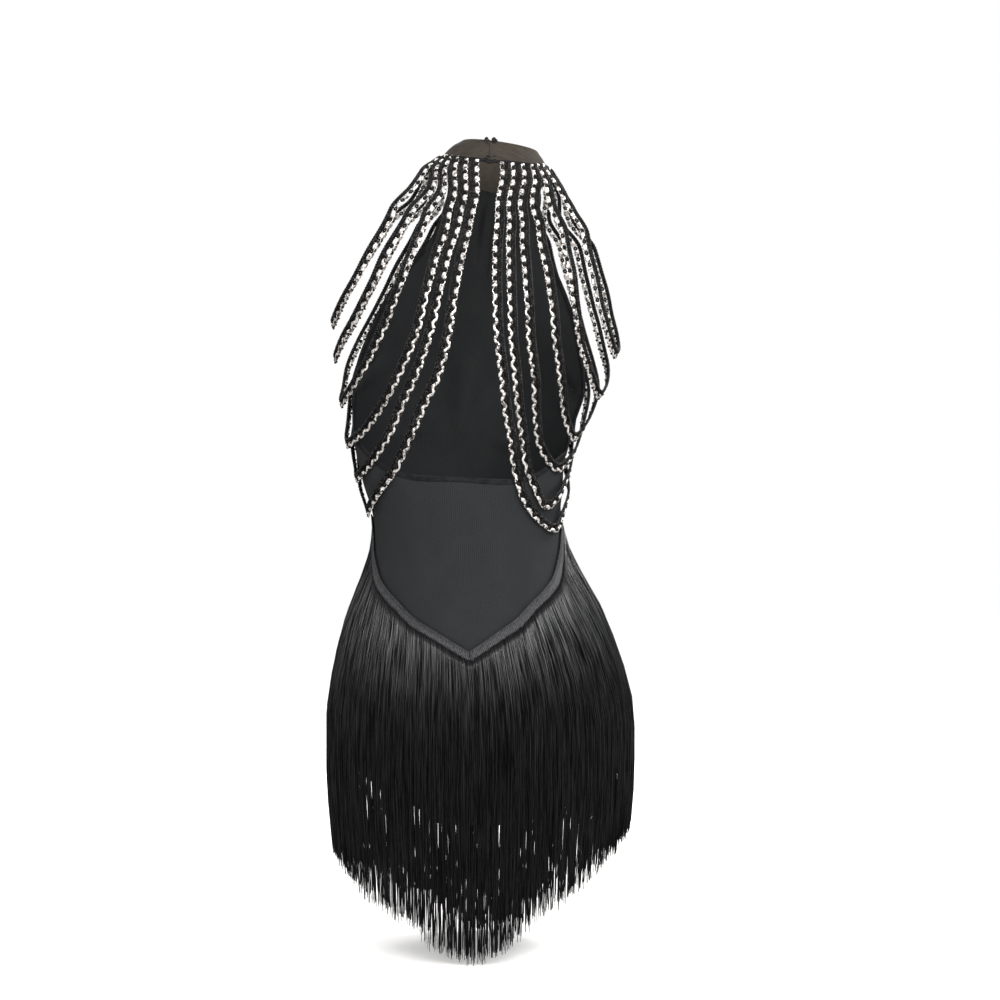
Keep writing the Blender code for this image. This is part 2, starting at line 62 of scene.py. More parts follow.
SOFT_BOXES = (
    # place, width, height, watts; each faces the dress's middle
    ((1.60, 1.50, 0.95), 0.8, 1.1, 6),
    ((-1.60, 1.30, 0.85), 0.9, 1.1, 19),
    ((-0.40, 2.00, 0.60), 1.5, 0.6, 40),
    ((0.10, 2.90, 0.35), 1.6, 0.4, 9),
    ((1.50, -1.60, 1.40), 0.9, 1.0, 10),
    ((-1.70, -1.30, 1.20), 0.7, 1.0, 46),
    ((0.00, -2.10, 0.90), 1.6, 0.6, 24),
)
MIDDLE = (0.0, 0.0, -0.40)
WALL_LIGHT, CEILING_LIGHT = 0.16, 1.05  # of the white wall's
CEILING_FROM = 0.7  # the rise, as a sine, at which the light is the ceiling's


def linear(colour):
    """An sRGB hex colour as a linear one."""
    parts = [int(colour[i:i + 2], 16) / 255 for i in (1, 3, 5)]
    return (*[c / 12.92 if c <= 0.04045 else ((c + 0.055) / 1.055) ** 2.4 for c in parts], 1)


def set_inputs(node, inputs):
    """Sets each input to a value, or links it from an output or from a node's first output."""
    for key, value in inputs.items():
        if isinstance(value, bpy.types.Node):
            value = value.outputs[0]
        if isinstance(value, bpy.types.NodeSocket):
            node.id_data.links.new(value, node.inputs[key])
        else:
            node.inputs[key].default_value = value


def add_node(tree, kind, inputs, shades=(), **settings):
    """Adds a node with its settings and inputs, and a ramp's shades: each a place and a hex colour."""
    node = tree.nodes.new("ShaderNode" + kind)
    for key, value in settings.items():
        setattr(node, key, value)
    for k, (place, colour) in enumerate(shades):
        node.color_ramp.elements[k].position = place
        node.color_ramp.elements[k].color = linear(colour)
    set_inputs(node, inputs)
    return node


def new_material(name):
    """A material and its node tree."""
    material = bpy.data.materials.new(name)
    material.use_nodes = True
    return material, material.node_tree


def pick(*pieces):
    """Selects these pieces alone, or nothing; the last of them is the active one."""
    bpy.ops.object.select_all(action="DESELECT")
    for piece in pieces:
        piece.select_set(True)
        bpy.context.view_layer.objects.active = piece


pick()
bpy.ops.mesh.primitive_plane_add(size=FLOOR_SIZE, location=(0, 0, cad_low.z - FLOOR_DROP))
paper_floor = bpy.context.object
paper_floor.name = "paper_floor"
bpy.ops.object.transform_apply(location=True, rotation=True, scale=True)
paper, tree = new_material("paper_matt_white")
set_inputs(tree.nodes["Principled BSDF"], {
    "Base Color": linear("#f4f3f1"), "Roughness": 0.9,
    "Emission Color": linear("#ffffff"), "Emission Strength": 0.25})  # it lies on a lit table
paper_floor.data.materials.append(paper)
paper_floor.visible_glossy = False  # matt paper is too dull for the silky threads to mirror it
paper_floor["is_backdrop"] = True

for place, width, height, watts in SOFT_BOXES:
    bpy.ops.object.light_add(type="AREA", location=place)
    lamp = bpy.context.object
    lamp.data.shape, lamp.data.size, lamp.data.size_y = "RECTANGLE", width, height
    lamp.data.energy = watts
    aim = np.array(MIDDLE) - np.array(place)
    lamp.rotation_euler = (
        math.atan2(math.hypot(aim[0], aim[1]), -aim[2]), 0, math.atan2(-aim[0], aim[1]))

world = bpy.context.scene.world or bpy.data.worlds.new("white_room")
bpy.context.scene.world = world
world.use_nodes = True
# The lit wall behind the dress is white. The rest of the room is dim, and its ceiling paler.
tree = world.node_tree
toward = add_node(tree, "TexCoord", {}).outputs["Generated"]
height = add_node(tree, "SeparateXYZ", {"Vector": toward}).outputs["Z"]
room = add_node(tree, "MapRange", {"Value": height, "From Min": 0.0, "From Max": CEILING_FROM,
                "To Min": WALL_LIGHT, "To Max": CEILING_LIGHT})
seen = add_node(tree, "LightPath", {})  # its first output tells the camera's rays
strength = add_node(tree, "Mix", {0: seen, 2: room, 3: 1.0}, data_type="FLOAT")
set_inputs(tree.nodes["Background"], {"Strength": strength, "Color": linear("#ffffff")})
bpy.context.scene.view_settings.view_transform = "Standard"

bpy.ops.object.camera_add(location=CAMERA_PLACE, rotation=(math.radians(90), 0, math.radians(180)))
camera = bpy.context.object
camera.data.angle = math.radians(CAMERA_ANGLE)
bpy.context.scene.camera = camera

# ---------------- the figure that the dress is cut for
# The cloth takes the form of the body in it. These level sections are the form's sizes in metres; angles
# run round it from the centre back (0) over the wearer's left (90) to the centre front (180). The
# station is the height, and below the seat the length along the cloth. Tilt and turn are in degrees.
FIGURE_COLUMNS = ("station", "height", "half_width", "back", "front", "shift", "tilt", "turn")
FIGURE = (
    (0.0200, 0.0200, 0.0335, 0.0440, 0.0420, -0.0080, 8.5, 17.0),
    (0.0107, 0.0107, 0.0380, 0.0455, 0.0435, -0.0055, 7.8, 14.5),
    (0.0029, 0.0029, 0.0466, 0.0490, 0.0460, -0.0022, 6.8, 8.2),
    (-0.0062, -0.0062, 0.0540, 0.0525, 0.0485, 0.0000, 5.6, 5.3),
    (-0.0150, -0.0150, 0.0660, 0.0560, 0.0505, 0.0005, 6.3, 3.5),
    (-0.030, -0.030, 0.0950, 0.0610, 0.0550, 0.0010, 8.0, 1.2),
    (-0.050, -0.050, 0.1350, 0.0690, 0.0630, 0.0020, 8.0, 0.0),
    (-0.075, -0.075, 0.1650, 0.0780, 0.0750, 0.0040, 7.5, 0.0),
    (-0.110, -0.110, 0.1700, 0.0880, 0.0900, 0.0090, 7.0, 0.0),
    (-0.150, -0.150, 0.1580, 0.0960, 0.1040, 0.0150, 6.5, 0.0),
    (-0.190, -0.190, 0.1435, 0.0990, 0.1100, 0.0205, 6.0, 0.0),
    (-0.230, -0.230, 0.1340, 0.0980, 0.1100, 0.0255, 5.5, 0.0),
    (-0.272, -0.272, 0.1190, 0.0940, 0.1040, 0.0330, 5.0, 0.0),
    (-0.310, -0.310, 0.1105, 0.0890, 0.0960, 0.0365, 4.0, 0.0),
    (-0.345, -0.345, 0.1050, 0.0850, 0.0900, 0.0335, 2.5, 0.5),
    (-0.385, -0.385, 0.0980, 0.0830, 0.0860, 0.0285, 1.0, 2.5),
    (-0.425, -0.425, 0.1040, 0.0890, 0.0880, 0.0250, 0.0, 5.0),
    (-0.467, -0.467, 0.1210, 0.1000, 0.0920, 0.0210, 0.0, 5.0),
    (-0.508, -0.508, 0.1355, 0.1090, 0.0950, 0.0185, 0.0, 3.2),
    (-0.550, -0.550, 0.1470, 0.1150, 0.0950, 0.0160, 0.0, 2.4),
    (-0.590, -0.590, 0.1535, 0.1170, 0.0930, 0.0145, 0.0, 2.2),
    (-0.630, -0.630, 0.1540, 0.1120, 0.0860, 0.0145, 0.0, 1.0),
    (-0.665, -0.663, 0.1530, 0.1000, 0.0730, 0.0145, 0.0, 0.0),
    (-0.695, -0.685, 0.1520, 0.0820, 0.0560, 0.0145, 0.0, 0.0),
    (-0.720, -0.696, 0.1510, 0.0600, 0.0380, 0.0145, 0.0, 0.0),
    (-0.745, -0.701, 0.1500, 0.0330, 0.0200, 0.0145, 0.0, 0.0),
    (-0.775, -0.702, 0.1500, 0.0000, 0.0000, 0.0145, 0.0, 0.0),
)
CUP_RISE, CUP_SIDE, CUP_LEVEL, CUP_WIDE, CUP_HIGH = 0.028, 0.062, -0.230, 0.047, 0.060


def stretch(rows, lean, i, t, h):
    """The smooth stretch from row i to the next, which lie h apart: t is the share of the way."""
    return (rows[i] * (1 + 2 * t) * (1 - t) ** 2 + lean[i] * h * t * (1 - t) ** 2
            + rows[i + 1] * t * t * (3 - 2 * t) + lean[i + 1] * h * t * t * (t - 1))


def table(rows, column=1):
    """A smooth function from a table's first column to another, with no overshoot between its rows."""
    xs, ys = np.array(sorted(rows), float)[:, [0, column]].T
    step = np.diff(xs)
    slope = np.diff(ys) / step
    lean = np.zeros(len(xs))
    lean[0], lean[-1] = slope[0], slope[-1]
    for i in range(1, len(xs) - 1):
        if slope[i - 1] * slope[i] > 0:
            w1, w2 = 2 * step[i] + step[i - 1], step[i] + 2 * step[i - 1]
            lean[i] = (w1 + w2) / (w1 / slope[i - 1] + w2 / slope[i])

    def value(x):
        x = np.clip(x, xs[0], xs[-1])
        i = np.clip(np.searchsorted(xs, x) - 1, 0, len(step) - 1)
        return stretch(ys, lean, i, (x - xs[i]) / step[i], step[i])

    return value


section = {name: table(FIGURE, column) for column, name in enumerate(FIGURE_COLUMNS)}


def on_figure(angle, station):
    a = np.radians(angle + section["turn"](station))
    s, c = np.sin(a), np.cos(a)
    level = section["height"](station)
    x = section["half_width"](station) * s
    y = np.where(c > 0, section["back"](station), section["front"](station)) * c
    for side in (-1, 1):
        across, up = (x - side * CUP_SIDE) / CUP_WIDE, (level - CUP_LEVEL) / CUP_HIGH
        y = y - np.where(c < 0, CUP_RISE * c * c * np.exp(-across * across - up * up), 0)
    z = level + np.tan(np.radians(section["tilt"](station))) * x
    return np.stack([section["shift"](station) + x, y, z], axis=-1)


def unit(v):
    return v / np.linalg.norm(v, axis=-1, keepdims=True)


def outward(angle, station):
    """The figure's normal there."""
    round_it = on_figure(angle + 0.5, station) - on_figure(angle - 0.5, station)
    down = on_figure(angle, station - 0.0015) - on_figure(angle, station + 0.0015)
    return unit(np.cross(round_it, down))


def off_figure(angle, station, out):
    return on_figure(angle, station) + outward(angle, station) * np.asarray(out)[..., None]


def ease(x):
    x = np.clip(x, 0, 1)
    return x * x * (3 - 2 * x)


# ---------------- back panel
# The low shield of the back: one layer of nylon and elastane jersey, dyed black and cut on the fold,
# pulled smooth over the small of the back. Its pointed lower edge is sewn to the brief under the tape.
CLOTH_WALL = 0.0012
BACK_TOP = ((0, -0.339), (32, -0.338), (46, -0.331), (60, -0.318), (75, -0.306), (90, -0.300))
HIP_SEAM = ((0, -0.518), (13, -0.499), (23, -0.486), (34, -0.4685), (43, -0.457), (54, -0.443),
            (67, -0.421), (78, -0.399), (90, -0.380))
back_top, hip_seam = table(BACK_TOP), table(HIP_SEAM)
BACK_CREASES = (
    # angle, station, lean, length, half width, rise
    (62, -0.352, 78, 0.060, 0.0060, -0.0009),
    (70, -0.372, 84, 0.070, 0.0050, -0.0011),
    (55, -0.386, 72, 0.050, 0.0060, 0.0007),
    (-66, -0.350, -74, 0.064, 0.0055, -0.0010),
    (-60, -0.378, -80, 0.072, 0.0060, -0.0008),
    (-38, -0.430, -28, 0.085, 0.0110, 0.0007),
    (30, -0.420, 34, 0.090, 0.0120, 0.0006),
    (6, -0.372, 88, 0.080, 0.0080, -0.0005),
    (-12, -0.398, 84, 0.060, 0.0090, -0.0004),
)
JERSEY_WALE = 0.0022  # rows of the knit, five times as coarse as they are, so that they show
WAVE_BAND = 0.314  # metres from one band of a wave pattern to the next, at a scale of 1


def creases(angle, station, rows):
    """Soft troughs and ridges of the cloth. A crease leans from upright, and one flank is steeper."""
    lift = np.zeros(np.shape(angle))
    for at_angle, at_station, lean, length, half_width, rise in rows:
        a = math.radians(lean)
        across = np.radians((angle - at_angle + 180) % 360 - 180) * section["half_width"](at_station)
        up = station - at_station
        over, along = across * math.cos(a) - up * math.sin(a), across * math.sin(a) + up * math.cos(a)
        q = over / half_width
        lift += rise * (1 - 0.5 * q) * np.exp(-q * q) * np.clip(1 - (2 * along / length) ** 2, 0, 1) ** 2
    return lift


def make_piece(name, parts, materials, uv=None, faceted=None):
    """One mesh of parts, each its points and faces with the number of its material. All are smooth,
    except what is of the faceted material."""
    points, faces, numbers, start = [], [], [], 0
    for (part_points, part_faces), number in parts:
        points.append(np.reshape(part_points, (-1, 3)))
        faces += [[start + k for k in face] for face in part_faces]
        numbers += [number] * len(part_faces)
        start += len(points[-1])
    mesh = bpy.data.meshes.new(name)
    mesh.from_pydata(np.concatenate(points).tolist(), [], faces)
    for m in materials:
        mesh.materials.append(m)
    mesh.polygons.foreach_set("material_index", numbers)
    mesh.polygons.foreach_set("use_smooth", [number != faceted for number in numbers])
    if uv is not None:
        layer = mesh.uv_layers.new(name="cloth")
        corners = np.zeros(len(mesh.loops), int)
        mesh.loops.foreach_get("vertex_index", corners)
        layer.data.foreach_set("uv", np.reshape(uv, (-1, 2))[corners].ravel())
    piece = bpy.data.objects.new(name, mesh)
    bpy.context.collection.objects.link(piece)
    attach(piece, "root")
    return piece


def grid_faces(rows, columns):
    j, i = np.mgrid[0:rows - 1, 0:columns - 1]
    a = (j * columns + i).ravel()
    return np.stack([a, a + 1, a + columns + 1, a + columns], axis=1).tolist()


def run_length(points, axis):
    """Lengths along the cloth from its first row or column."""
    steps = np.linalg.norm(np.diff(points, axis=axis), axis=-1)
    return np.concatenate([np.zeros_like(np.take(steps, [0], axis)), np.cumsum(steps, axis)], axis)


def apply_modifier(piece, kind, **settings):
    modifier = piece.modifiers.new(kind.lower(), kind)
    for key, value in settings.items():
        setattr(modifier, key, value)
    pick(piece)
    bpy.ops.object.modifier_apply(modifier=modifier.name)


def cloth(name, angle, station, lift, material, wall=CLOTH_WALL):
    """A sheet over the figure, by rows from its top edge down; its UVs are metres along the cloth."""
    middle = off_figure(angle, station, wall / 2 + lift)
    across, down = run_length(middle, 1), run_length(middle, 0)
    across = across - across[:, [across.shape[1] // 2]]
    piece = make_piece(name, [((middle, grid_faces(*angle.shape)), 0)], [material],
                       uv=np.stack([across, -down], axis=-1))
    apply_modifier(piece, "SOLIDIFY", thickness=wall, offset=0)
    return piece


def finish(tree, pattern, shades, looks, relief=None):
    """Colours a material by the shades of a pattern, sets the rest of its looks, and may give it the
    pattern's relief: how strong and how deep."""
    looks["Base Color"] = add_node(tree, "ValToRGB", {"Fac": pattern}, shades=shades)
    if relief:
        looks["Normal"] = add_node(
            tree, "Bump", {"Height": pattern, "Strength": relief[0], "Distance": relief[1]})
    set_inputs(tree.nodes["Principled BSDF"], looks)


# Nylon and elastane jersey, warp-knitted and dyed: a matt black with fine upright ribs, that goes grey
# where the light grazes its filaments.
jersey, tree = new_material("jersey_nylon_elastane_knitted")
place = add_node(tree, "UVMap", {}, uv_map="cloth")
wales = add_node(tree, "TexWave", {"Vector": place, "Scale": WAVE_BAND / JERSEY_WALE,
                 "Distortion": 1.2, "Detail": 2.0, "Detail Scale": 0.6}, bands_direction="X")
fuzz = add_node(tree, "TexNoise", {"Vector": place, "Scale": 900.0, "Detail": 3.0})
cloud = add_node(tree, "TexNoise", {"Vector": place, "Scale": 26.0, "Detail": 4.0})
tone = add_node(tree, "Math", {0: wales.outputs["Fac"], 1: 0.20}, operation="MULTIPLY")
tone = add_node(tree, "Math", {0: fuzz, 1: 0.70, 2: tone}, operation="MULTIPLY_ADD")
tone = add_node(tree, "Math", {0: cloud, 1: 0.22, 2: tone}, operation="MULTIPLY_ADD")
finish(tree, tone, ((0.20, "#161718"), (0.92, "#2e2f30")),
       {"Roughness": 0.72, "Specular IOR Level": 0.05, "Sheen Weight": 0.02, "Sheen Roughness": 0.35,
        "Sheen Tint": linear("#9a9ca1")}, (0.35, 0.0004))

PANEL_COLUMNS, BACK_ROWS = 120, 80
SIDE_SEAM = (-0.300, -0.600)  # from the arm's edge to the leg's
SEAM_SINK, SEAM_REACH = 0.0008, 0.0040  # a seam draws the cloth in by this, over this width


def across_and_down(first, last, columns, rows):
    """Places across a panel, from first to last, and its fall from 0 to 1, by rows."""
    return np.meshgrid(np.linspace(first, last, columns + 1), np.linspace(0, 1, rows + 1))


def from_point(turn):
    """Degrees from the nearer point of the hip seam, behind or in front."""
    return np.minimum(abs(turn), abs(180 - abs(turn)))


def seam_at(turn):
    return hip_seam(from_point(turn))


def panel(name, turn, level, rows):
    """A panel of the leotard, with its creases, drawn in at the hip seam and the side seams."""
    to_side = np.radians(90 - abs((turn + 90) % 180 - 90)) * section["half_width"](level)
    to_side = np.where((level <= SIDE_SEAM[0]) & (level > SIDE_SEAM[1]), to_side, 1)
    lift = creases(turn, level, rows)
    for distance in (to_side, level - seam_at(turn)):
        lift -= SEAM_SINK * np.exp(-(distance / SEAM_REACH) ** 2)
    return cloth(name, turn, level, lift, jersey)


turn, fall = across_and_down(-90, 90, PANEL_COLUMNS, BACK_ROWS)
top = back_top(abs(turn))
back_panel = panel("back_panel_jersey", turn, top + fall * (seam_at(turn) - top), BACK_CREASES)
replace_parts(back_panel, "back_panel")

# ---------------- front bodice
# The halter front, of the same jersey: gathered a little into the neckband, cut away for the arms, full
# over the bust and pointed at the hip like the back. It shows from inside through the open back.
BAND_BOTTOM = ((0, -0.0118), (45, -0.0098), (90, -0.0069), (135, -0.018), (165, -0.030), (180, -0.032))
HALTER_EDGE = ((-0.020, 34), (-0.040, 25), (-0.070, 21), (-0.110, 28), (-0.150, 40), (-0.190, 53),
               (-0.230, 66), (-0.270, 79), (-0.300, 90))
band_bottom, halter_edge = table(BAND_BOTTOM), table(HALTER_EDGE)
BODICE_ROWS = 150
FRONT_CREASES = (
    # gathers that run down from the neckband
    (151, -0.062, 4, 0.075, 0.0030, 0.0034),
    (158, -0.070, 3, 0.095, 0.0028, -0.0032),
    (164, -0.066, 2, 0.080, 0.0030, 0.0039),
    (170, -0.078, 1, 0.110, 0.0034, -0.0034),
    (176, -0.068, 0, 0.085, 0.0030, 0.0036),
    (182, -0.082, 0, 0.115, 0.0036, -0.0036),
    (189, -0.070, -1, 0.090, 0.0030, 0.0032),
    (195, -0.074, -2, 0.105, 0.0032, -0.0034),
    (202, -0.064, -4, 0.075, 0.0030, 0.0036),
    (208, -0.060, -5, 0.066, 0.0028, -0.0028),
    # pulls from under the arms towards the bust, and below it
    (118, -0.245, 68, 0.080, 0.0070, -0.0035),
    (240, -0.252, -64, 0.086, 0.0075, -0.0038),
    (128, -0.222, 58, 0.070, 0.0065, 0.0027),
    (231, -0.226, -56, 0.064, 0.0060, 0.0030),
    (152, -0.292, 72, 0.090, 0.0085, -0.0043),
    (207, -0.296, -70, 0.082, 0.0080, -0.0038),
    (180, -0.252, 0, 0.120, 0.0140, -0.0059),
    # cross creases of the waist and soft drags to the hip seam
    (112, -0.352, 82, 0.080, 0.0055, -0.0032),
    (246, -0.346, -80, 0.084, 0.0055, -0.0035),
    (108, -0.374, 86, 0.066, 0.0050, 0.0024),
    (252, -0.370, -84, 0.070, 0.0050, 0.0027),
    (160, -0.372, 78, 0.110, 0.0090, -0.0027),
    (204, -0.386, -82, 0.096, 0.0090, -0.0024),
    (150, -0.425, 38, 0.100, 0.0110, 0.0027),
    (214, -0.432, -34, 0.108, 0.0120, 0.0030),
)
share, fall = across_and_down(-1, 1, PANEL_COLUMNS, BODICE_ROWS)
top = np.full(share.shape, BAND_BOTTOM[-1][1])
for _ in range(4):
    top = band_bottom(180 - abs(share) * np.minimum(halter_edge(top), 90)) + 0.002
level = top + fall * (hip_seam(abs(share) * 90) - top)
turn = 180 + share * np.minimum(halter_edge(level), 90)
front_bodice = panel("front_bodice_jersey", turn, level, FRONT_CREASES)
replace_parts(front_bodice, "front_bodice")

# ---------------- brief
# The bottom of the leotard under the fringe, back and front, of the same jersey. The two are sewn at the
# sides and between the legs, and their leg edges are turned over elastic.
CROTCH_STATION = -0.775
LEG_LINES = {
    "back": ((-0.600, 0.1540), (-0.620, 0.1470), (-0.634, 0.1330), (-0.648, 0.1150), (-0.660, 0.0960),
             (-0.672, 0.0760), (-0.690, 0.0560), (-0.720, 0.0410), (-0.750, 0.0340), (-0.775, 0.0320)),
    "front": ((-0.600, 0.1535), (-0.618, 0.1380), (-0.635, 0.1120), (-0.652, 0.0850), (-0.672, 0.0640),
              (-0.695, 0.0480), (-0.720, 0.0390), (-0.750, 0.0340), (-0.775, 0.0320)),
}
BRIEF_ROWS, ROWS_CLOSER = 80, 0.07  # the rows lie closer near the seam and the crotch
BRIEF_CREASES = {
    "back": ((28, -0.640, 52, 0.090, 0.0080, -0.0014), (-30, -0.636, -48, 0.096, 0.0080, -0.0015),
             (14, -0.670, 30, 0.070, 0.0060, 0.0010), (-16, -0.664, -34, 0.074, 0.0060, 0.0011),
             (60, -0.560, 70, 0.080, 0.0100, -0.0010), (-64, -0.566, -72, 0.080, 0.0100, -0.0010)),
    "front": ((158, -0.630, 58, 0.080, 0.0070, -0.0014), (204, -0.634, -56, 0.086, 0.0070, -0.0013),
              (170, -0.660, 34, 0.070, 0.0055, 0.0010), (192, -0.656, -36, 0.066, 0.0055, 0.0011),
              (130, -0.560, 66, 0.090, 0.0100, -0.0010), (232, -0.552, -68, 0.090, 0.0100, -0.0011)),
}
briefs = {}
for side, centre in (("back", 0), ("front", 180)):
    share, fall = across_and_down(-1, 1, PANEL_COLUMNS, BRIEF_ROWS)
    top = hip_seam(abs(share) * 90)
    level = top + (fall - ROWS_CLOSER * np.sin(2 * np.pi * fall)) * (CROTCH_STATION - top)
    width = table(LEG_LINES[side])(level) / section["half_width"](level)
    turn = centre + share * np.degrees(np.arcsin(np.minimum(width, 1)))
    briefs[side] = panel(f"{side}_brief_jersey", turn, level, BRIEF_CREASES[side])
    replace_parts(briefs[side], f"{side}_brief")

# ---------------- binding of the open back and arms
# One folded strip of the jersey, sewn over the raw edge: up one side of the halter, along the top of the
# back and down the other. It is stitched through, and painted darker than the cloth as shade on its roll.
BINDING_WIDTH, BINDING_WALL = 0.0056, 0.0027
BINDING_STEP = 0.004
BINDING_INSET, BINDING_STITCHED = 0.35, 0.30  # of its width, from the cloth's edge and from its middle
FLAT_OVER, FLAT_UP = 0.55, 0.75  # how squarely a strip's outline turns; 1 is an oval
STITCH_LENGTH, STITCH_PITCH, STITCH_THICK = 0.0023, 0.0031, 0.00042


def spline(rows, spacing):
    """Even (angle, station) rows along a smooth curve through the given ones."""
    rows = np.array(rows, float)
    along = run_length(on_figure(rows[:, 0], rows[:, 1]), 0)
    lean = np.gradient(rows, along, axis=0)
    s = np.linspace(0, along[-1], round(along[-1] / spacing) + 1)
    i = np.clip(np.searchsorted(along, s) - 1, 0, len(along) - 2)
    h = (along[i + 1] - along[i])[:, None]
    return stretch(rows, lean, i, (s - along[i])[:, None] / h, h)


def trail(rows, out, edge=0.0):
    """A path over the figure that trims are laid along."""
    return trail_of(off_figure(rows[:, 0], rows[:, 1], out), outward(rows[:, 0], rows[:, 1]), edge)


def trail_of(points, up, edge):
    """A trail's lengths and points, and which way is across it and out of it at each. It may run a
    little inside an edge, towards its right hand."""
    ahead = unit(np.gradient(points, axis=0))
    over = unit(np.cross(ahead, up))
    points = points + over * edge
    up = unit(np.cross(over, ahead))
    return {"length": run_length(points, 0), "points": points, "over": over, "up": up}


def lay(way, s, over, up):
    """Points at lengths s along a trail, moved across it and out of it."""
    at = [np.stack([np.interp(s, way["length"], way[key][:, k]) for k in range(3)], axis=-1)
          for key in ("points", "over", "up")]
    return at[0] + at[1] * np.asarray(over)[..., None] + at[2] * np.asarray(up)[..., None]


def tube_faces(count, rings, sides):
    """The faces of closed tubes, each of rings of points that turn anticlockwise as it leaves."""
    t, j, k = np.mgrid[0:count, 0:rings - 1, 0:sides]
    a = (t * rings + j) * sides
    near, far = a + k, a + (k + 1) % sides
    faces = np.stack([near, near + sides, far + sides, far], axis=-1).reshape(-1, 4).tolist()
    starts = (np.arange(count) * rings * sides)[:, None] + np.arange(sides)
    return faces + starts.tolist() + (starts + (rings - 1) * sides)[:, ::-1].tolist()


def strip(way, outline, step):
    """A closed strip along a trail. Its outline is (over, up) points in turn."""
    s = np.linspace(0, way["length"][-1], round(way["length"][-1] / step) + 1)
    rings = lay(way, s[:, None] + 0 * outline[:, 0], outline[:, 0], outline[:, 1])
    return rings.reshape(-1, 3), tube_faces(1, len(s), len(outline))


def rounded(width, wall, sides=10, lift=0.0):
    """The outline of a soft strip: flat, with round edges."""
    turns = np.linspace(0, 2 * np.pi, sides, endpoint=False)
    over = np.sign(np.cos(turns)) * abs(np.cos(turns)) ** FLAT_OVER * width / 2
    up = np.sign(np.sin(turns)) * abs(np.sin(turns)) ** FLAT_UP * wall / 2
    return np.stack([over, up + lift], axis=1)


def taken(piece):
    """The points and faces of a modelled unit, which is put away once it has been copied."""
    points = np.array([v.co for v in piece.data.vertices])
    faces = [tuple(f.vertices) for f in piece.data.polygons]
    bpy.data.objects.remove(piece, do_unlink=True)
    return points, faces


def repeated(way, unit_mesh, starts, over=0.0, up=0.0):
    """Copies of a unit along a trail: its X runs along it, its Y across and its Z out. That mirrors
    the unit, so its faces are turned round."""
    points, faces = unit_mesh
    laid = lay(way, starts[:, None] + points[:, 0], over + points[:, 1], up + points[:, 2])
    copies = range(0, len(starts) * len(points), len(points))
    return laid.reshape(-1, 3), [[k + first for k in f[::-1]] for first in copies for f in faces]


# One stitch: a short length of polyester thread, bowed up in the middle, with its ends in the cloth.
pick()
bpy.ops.mesh.primitive_cylinder_add(vertices=5, radius=STITCH_THICK / 2, depth=STITCH_LENGTH,
                                    rotation=(0, math.radians(90), 0))
stitch = bpy.context.object
bpy.ops.object.transform_apply(location=True, rotation=True, scale=True)
bpy.ops.object.mode_set(mode="EDIT")
bpy.ops.mesh.select_all(action="SELECT")
bpy.ops.mesh.bisect(plane_co=(0, 0, 0), plane_no=(1, 0, 0))
bpy.ops.object.mode_set(mode="OBJECT")
for corner in stitch.data.vertices:
    if abs(corner.co.x) > STITCH_LENGTH / 4:
        corner.co.z -= STITCH_THICK
stitch_unit = taken(stitch)


def stitches(way, over, up):
    starts = np.arange(STITCH_PITCH, way["length"][-1] - STITCH_PITCH, STITCH_PITCH)
    return repeated(way, stitch_unit, starts, over, up)


# Polyester sewing thread, spun and dyed black: it is a little glossier than the cloth.
thread, tree = new_material("thread_polyester_spun_black")
place = add_node(tree, "TexCoord", {}).outputs["Object"]
grain = add_node(tree, "TexNoise", {"Vector": place, "Scale": 2600.0, "Detail": 2.0})
finish(tree, grain, ((0.3, "#0c0a09"), (0.7, "#211d1b")), {"Roughness": 0.48, "Specular IOR Level": 0.12})

# The same jersey folded double for bindings and the neckband, with no ribs to be seen, painted darker as
# shade on the rolled edges.
binding_cloth, tree = new_material("jersey_folded_painted_shade")
place = add_node(tree, "TexCoord", {}).outputs["Object"]
cloud = add_node(tree, "TexNoise", {"Vector": place, "Scale": 140.0, "Detail": 5.0})
fuzz = add_node(tree, "TexNoise", {"Vector": place, "Scale": 1500.0, "Detail": 2.0})
bump = add_node(tree, "Bump", {"Height": fuzz, "Strength": 0.3, "Distance": 0.0003})
# painted shade: these shades are darker than the jersey's, for the rolled edges
finish(tree, cloud, ((0.3, "#131315"), (0.75, "#222325")),
       {"Normal": bump, "Roughness": 0.7, "Specular IOR Level": 0.05})

halter_rows = [(180 - half, level) for level, half in HALTER_EDGE[1:-1]]
edge_rows = [(180 - 30, -0.028)] + halter_rows + [(90, -0.300)]
edge_rows += [(angle, level) for angle, level in BACK_TOP[-2:0:-1]] + [(0, BACK_TOP[0][1])]
edge_rows += [(-angle, level) for angle, level in edge_rows[-2::-1]]
open_edge = trail(spline(edge_rows, BINDING_STEP), CLOTH_WALL / 2, BINDING_INSET * BINDING_WIDTH)
edge_binding = make_piece("edge_binding", [
    (strip(open_edge, rounded(BINDING_WIDTH, BINDING_WALL), BINDING_STEP), 0),
    (stitches(open_edge, BINDING_STITCHED * BINDING_WIDTH, BINDING_WALL / 2), 1),
    (stitches(open_edge, BINDING_STITCHED * BINDING_WIDTH, -BINDING_WALL / 2), 1),
], [binding_cloth, thread])

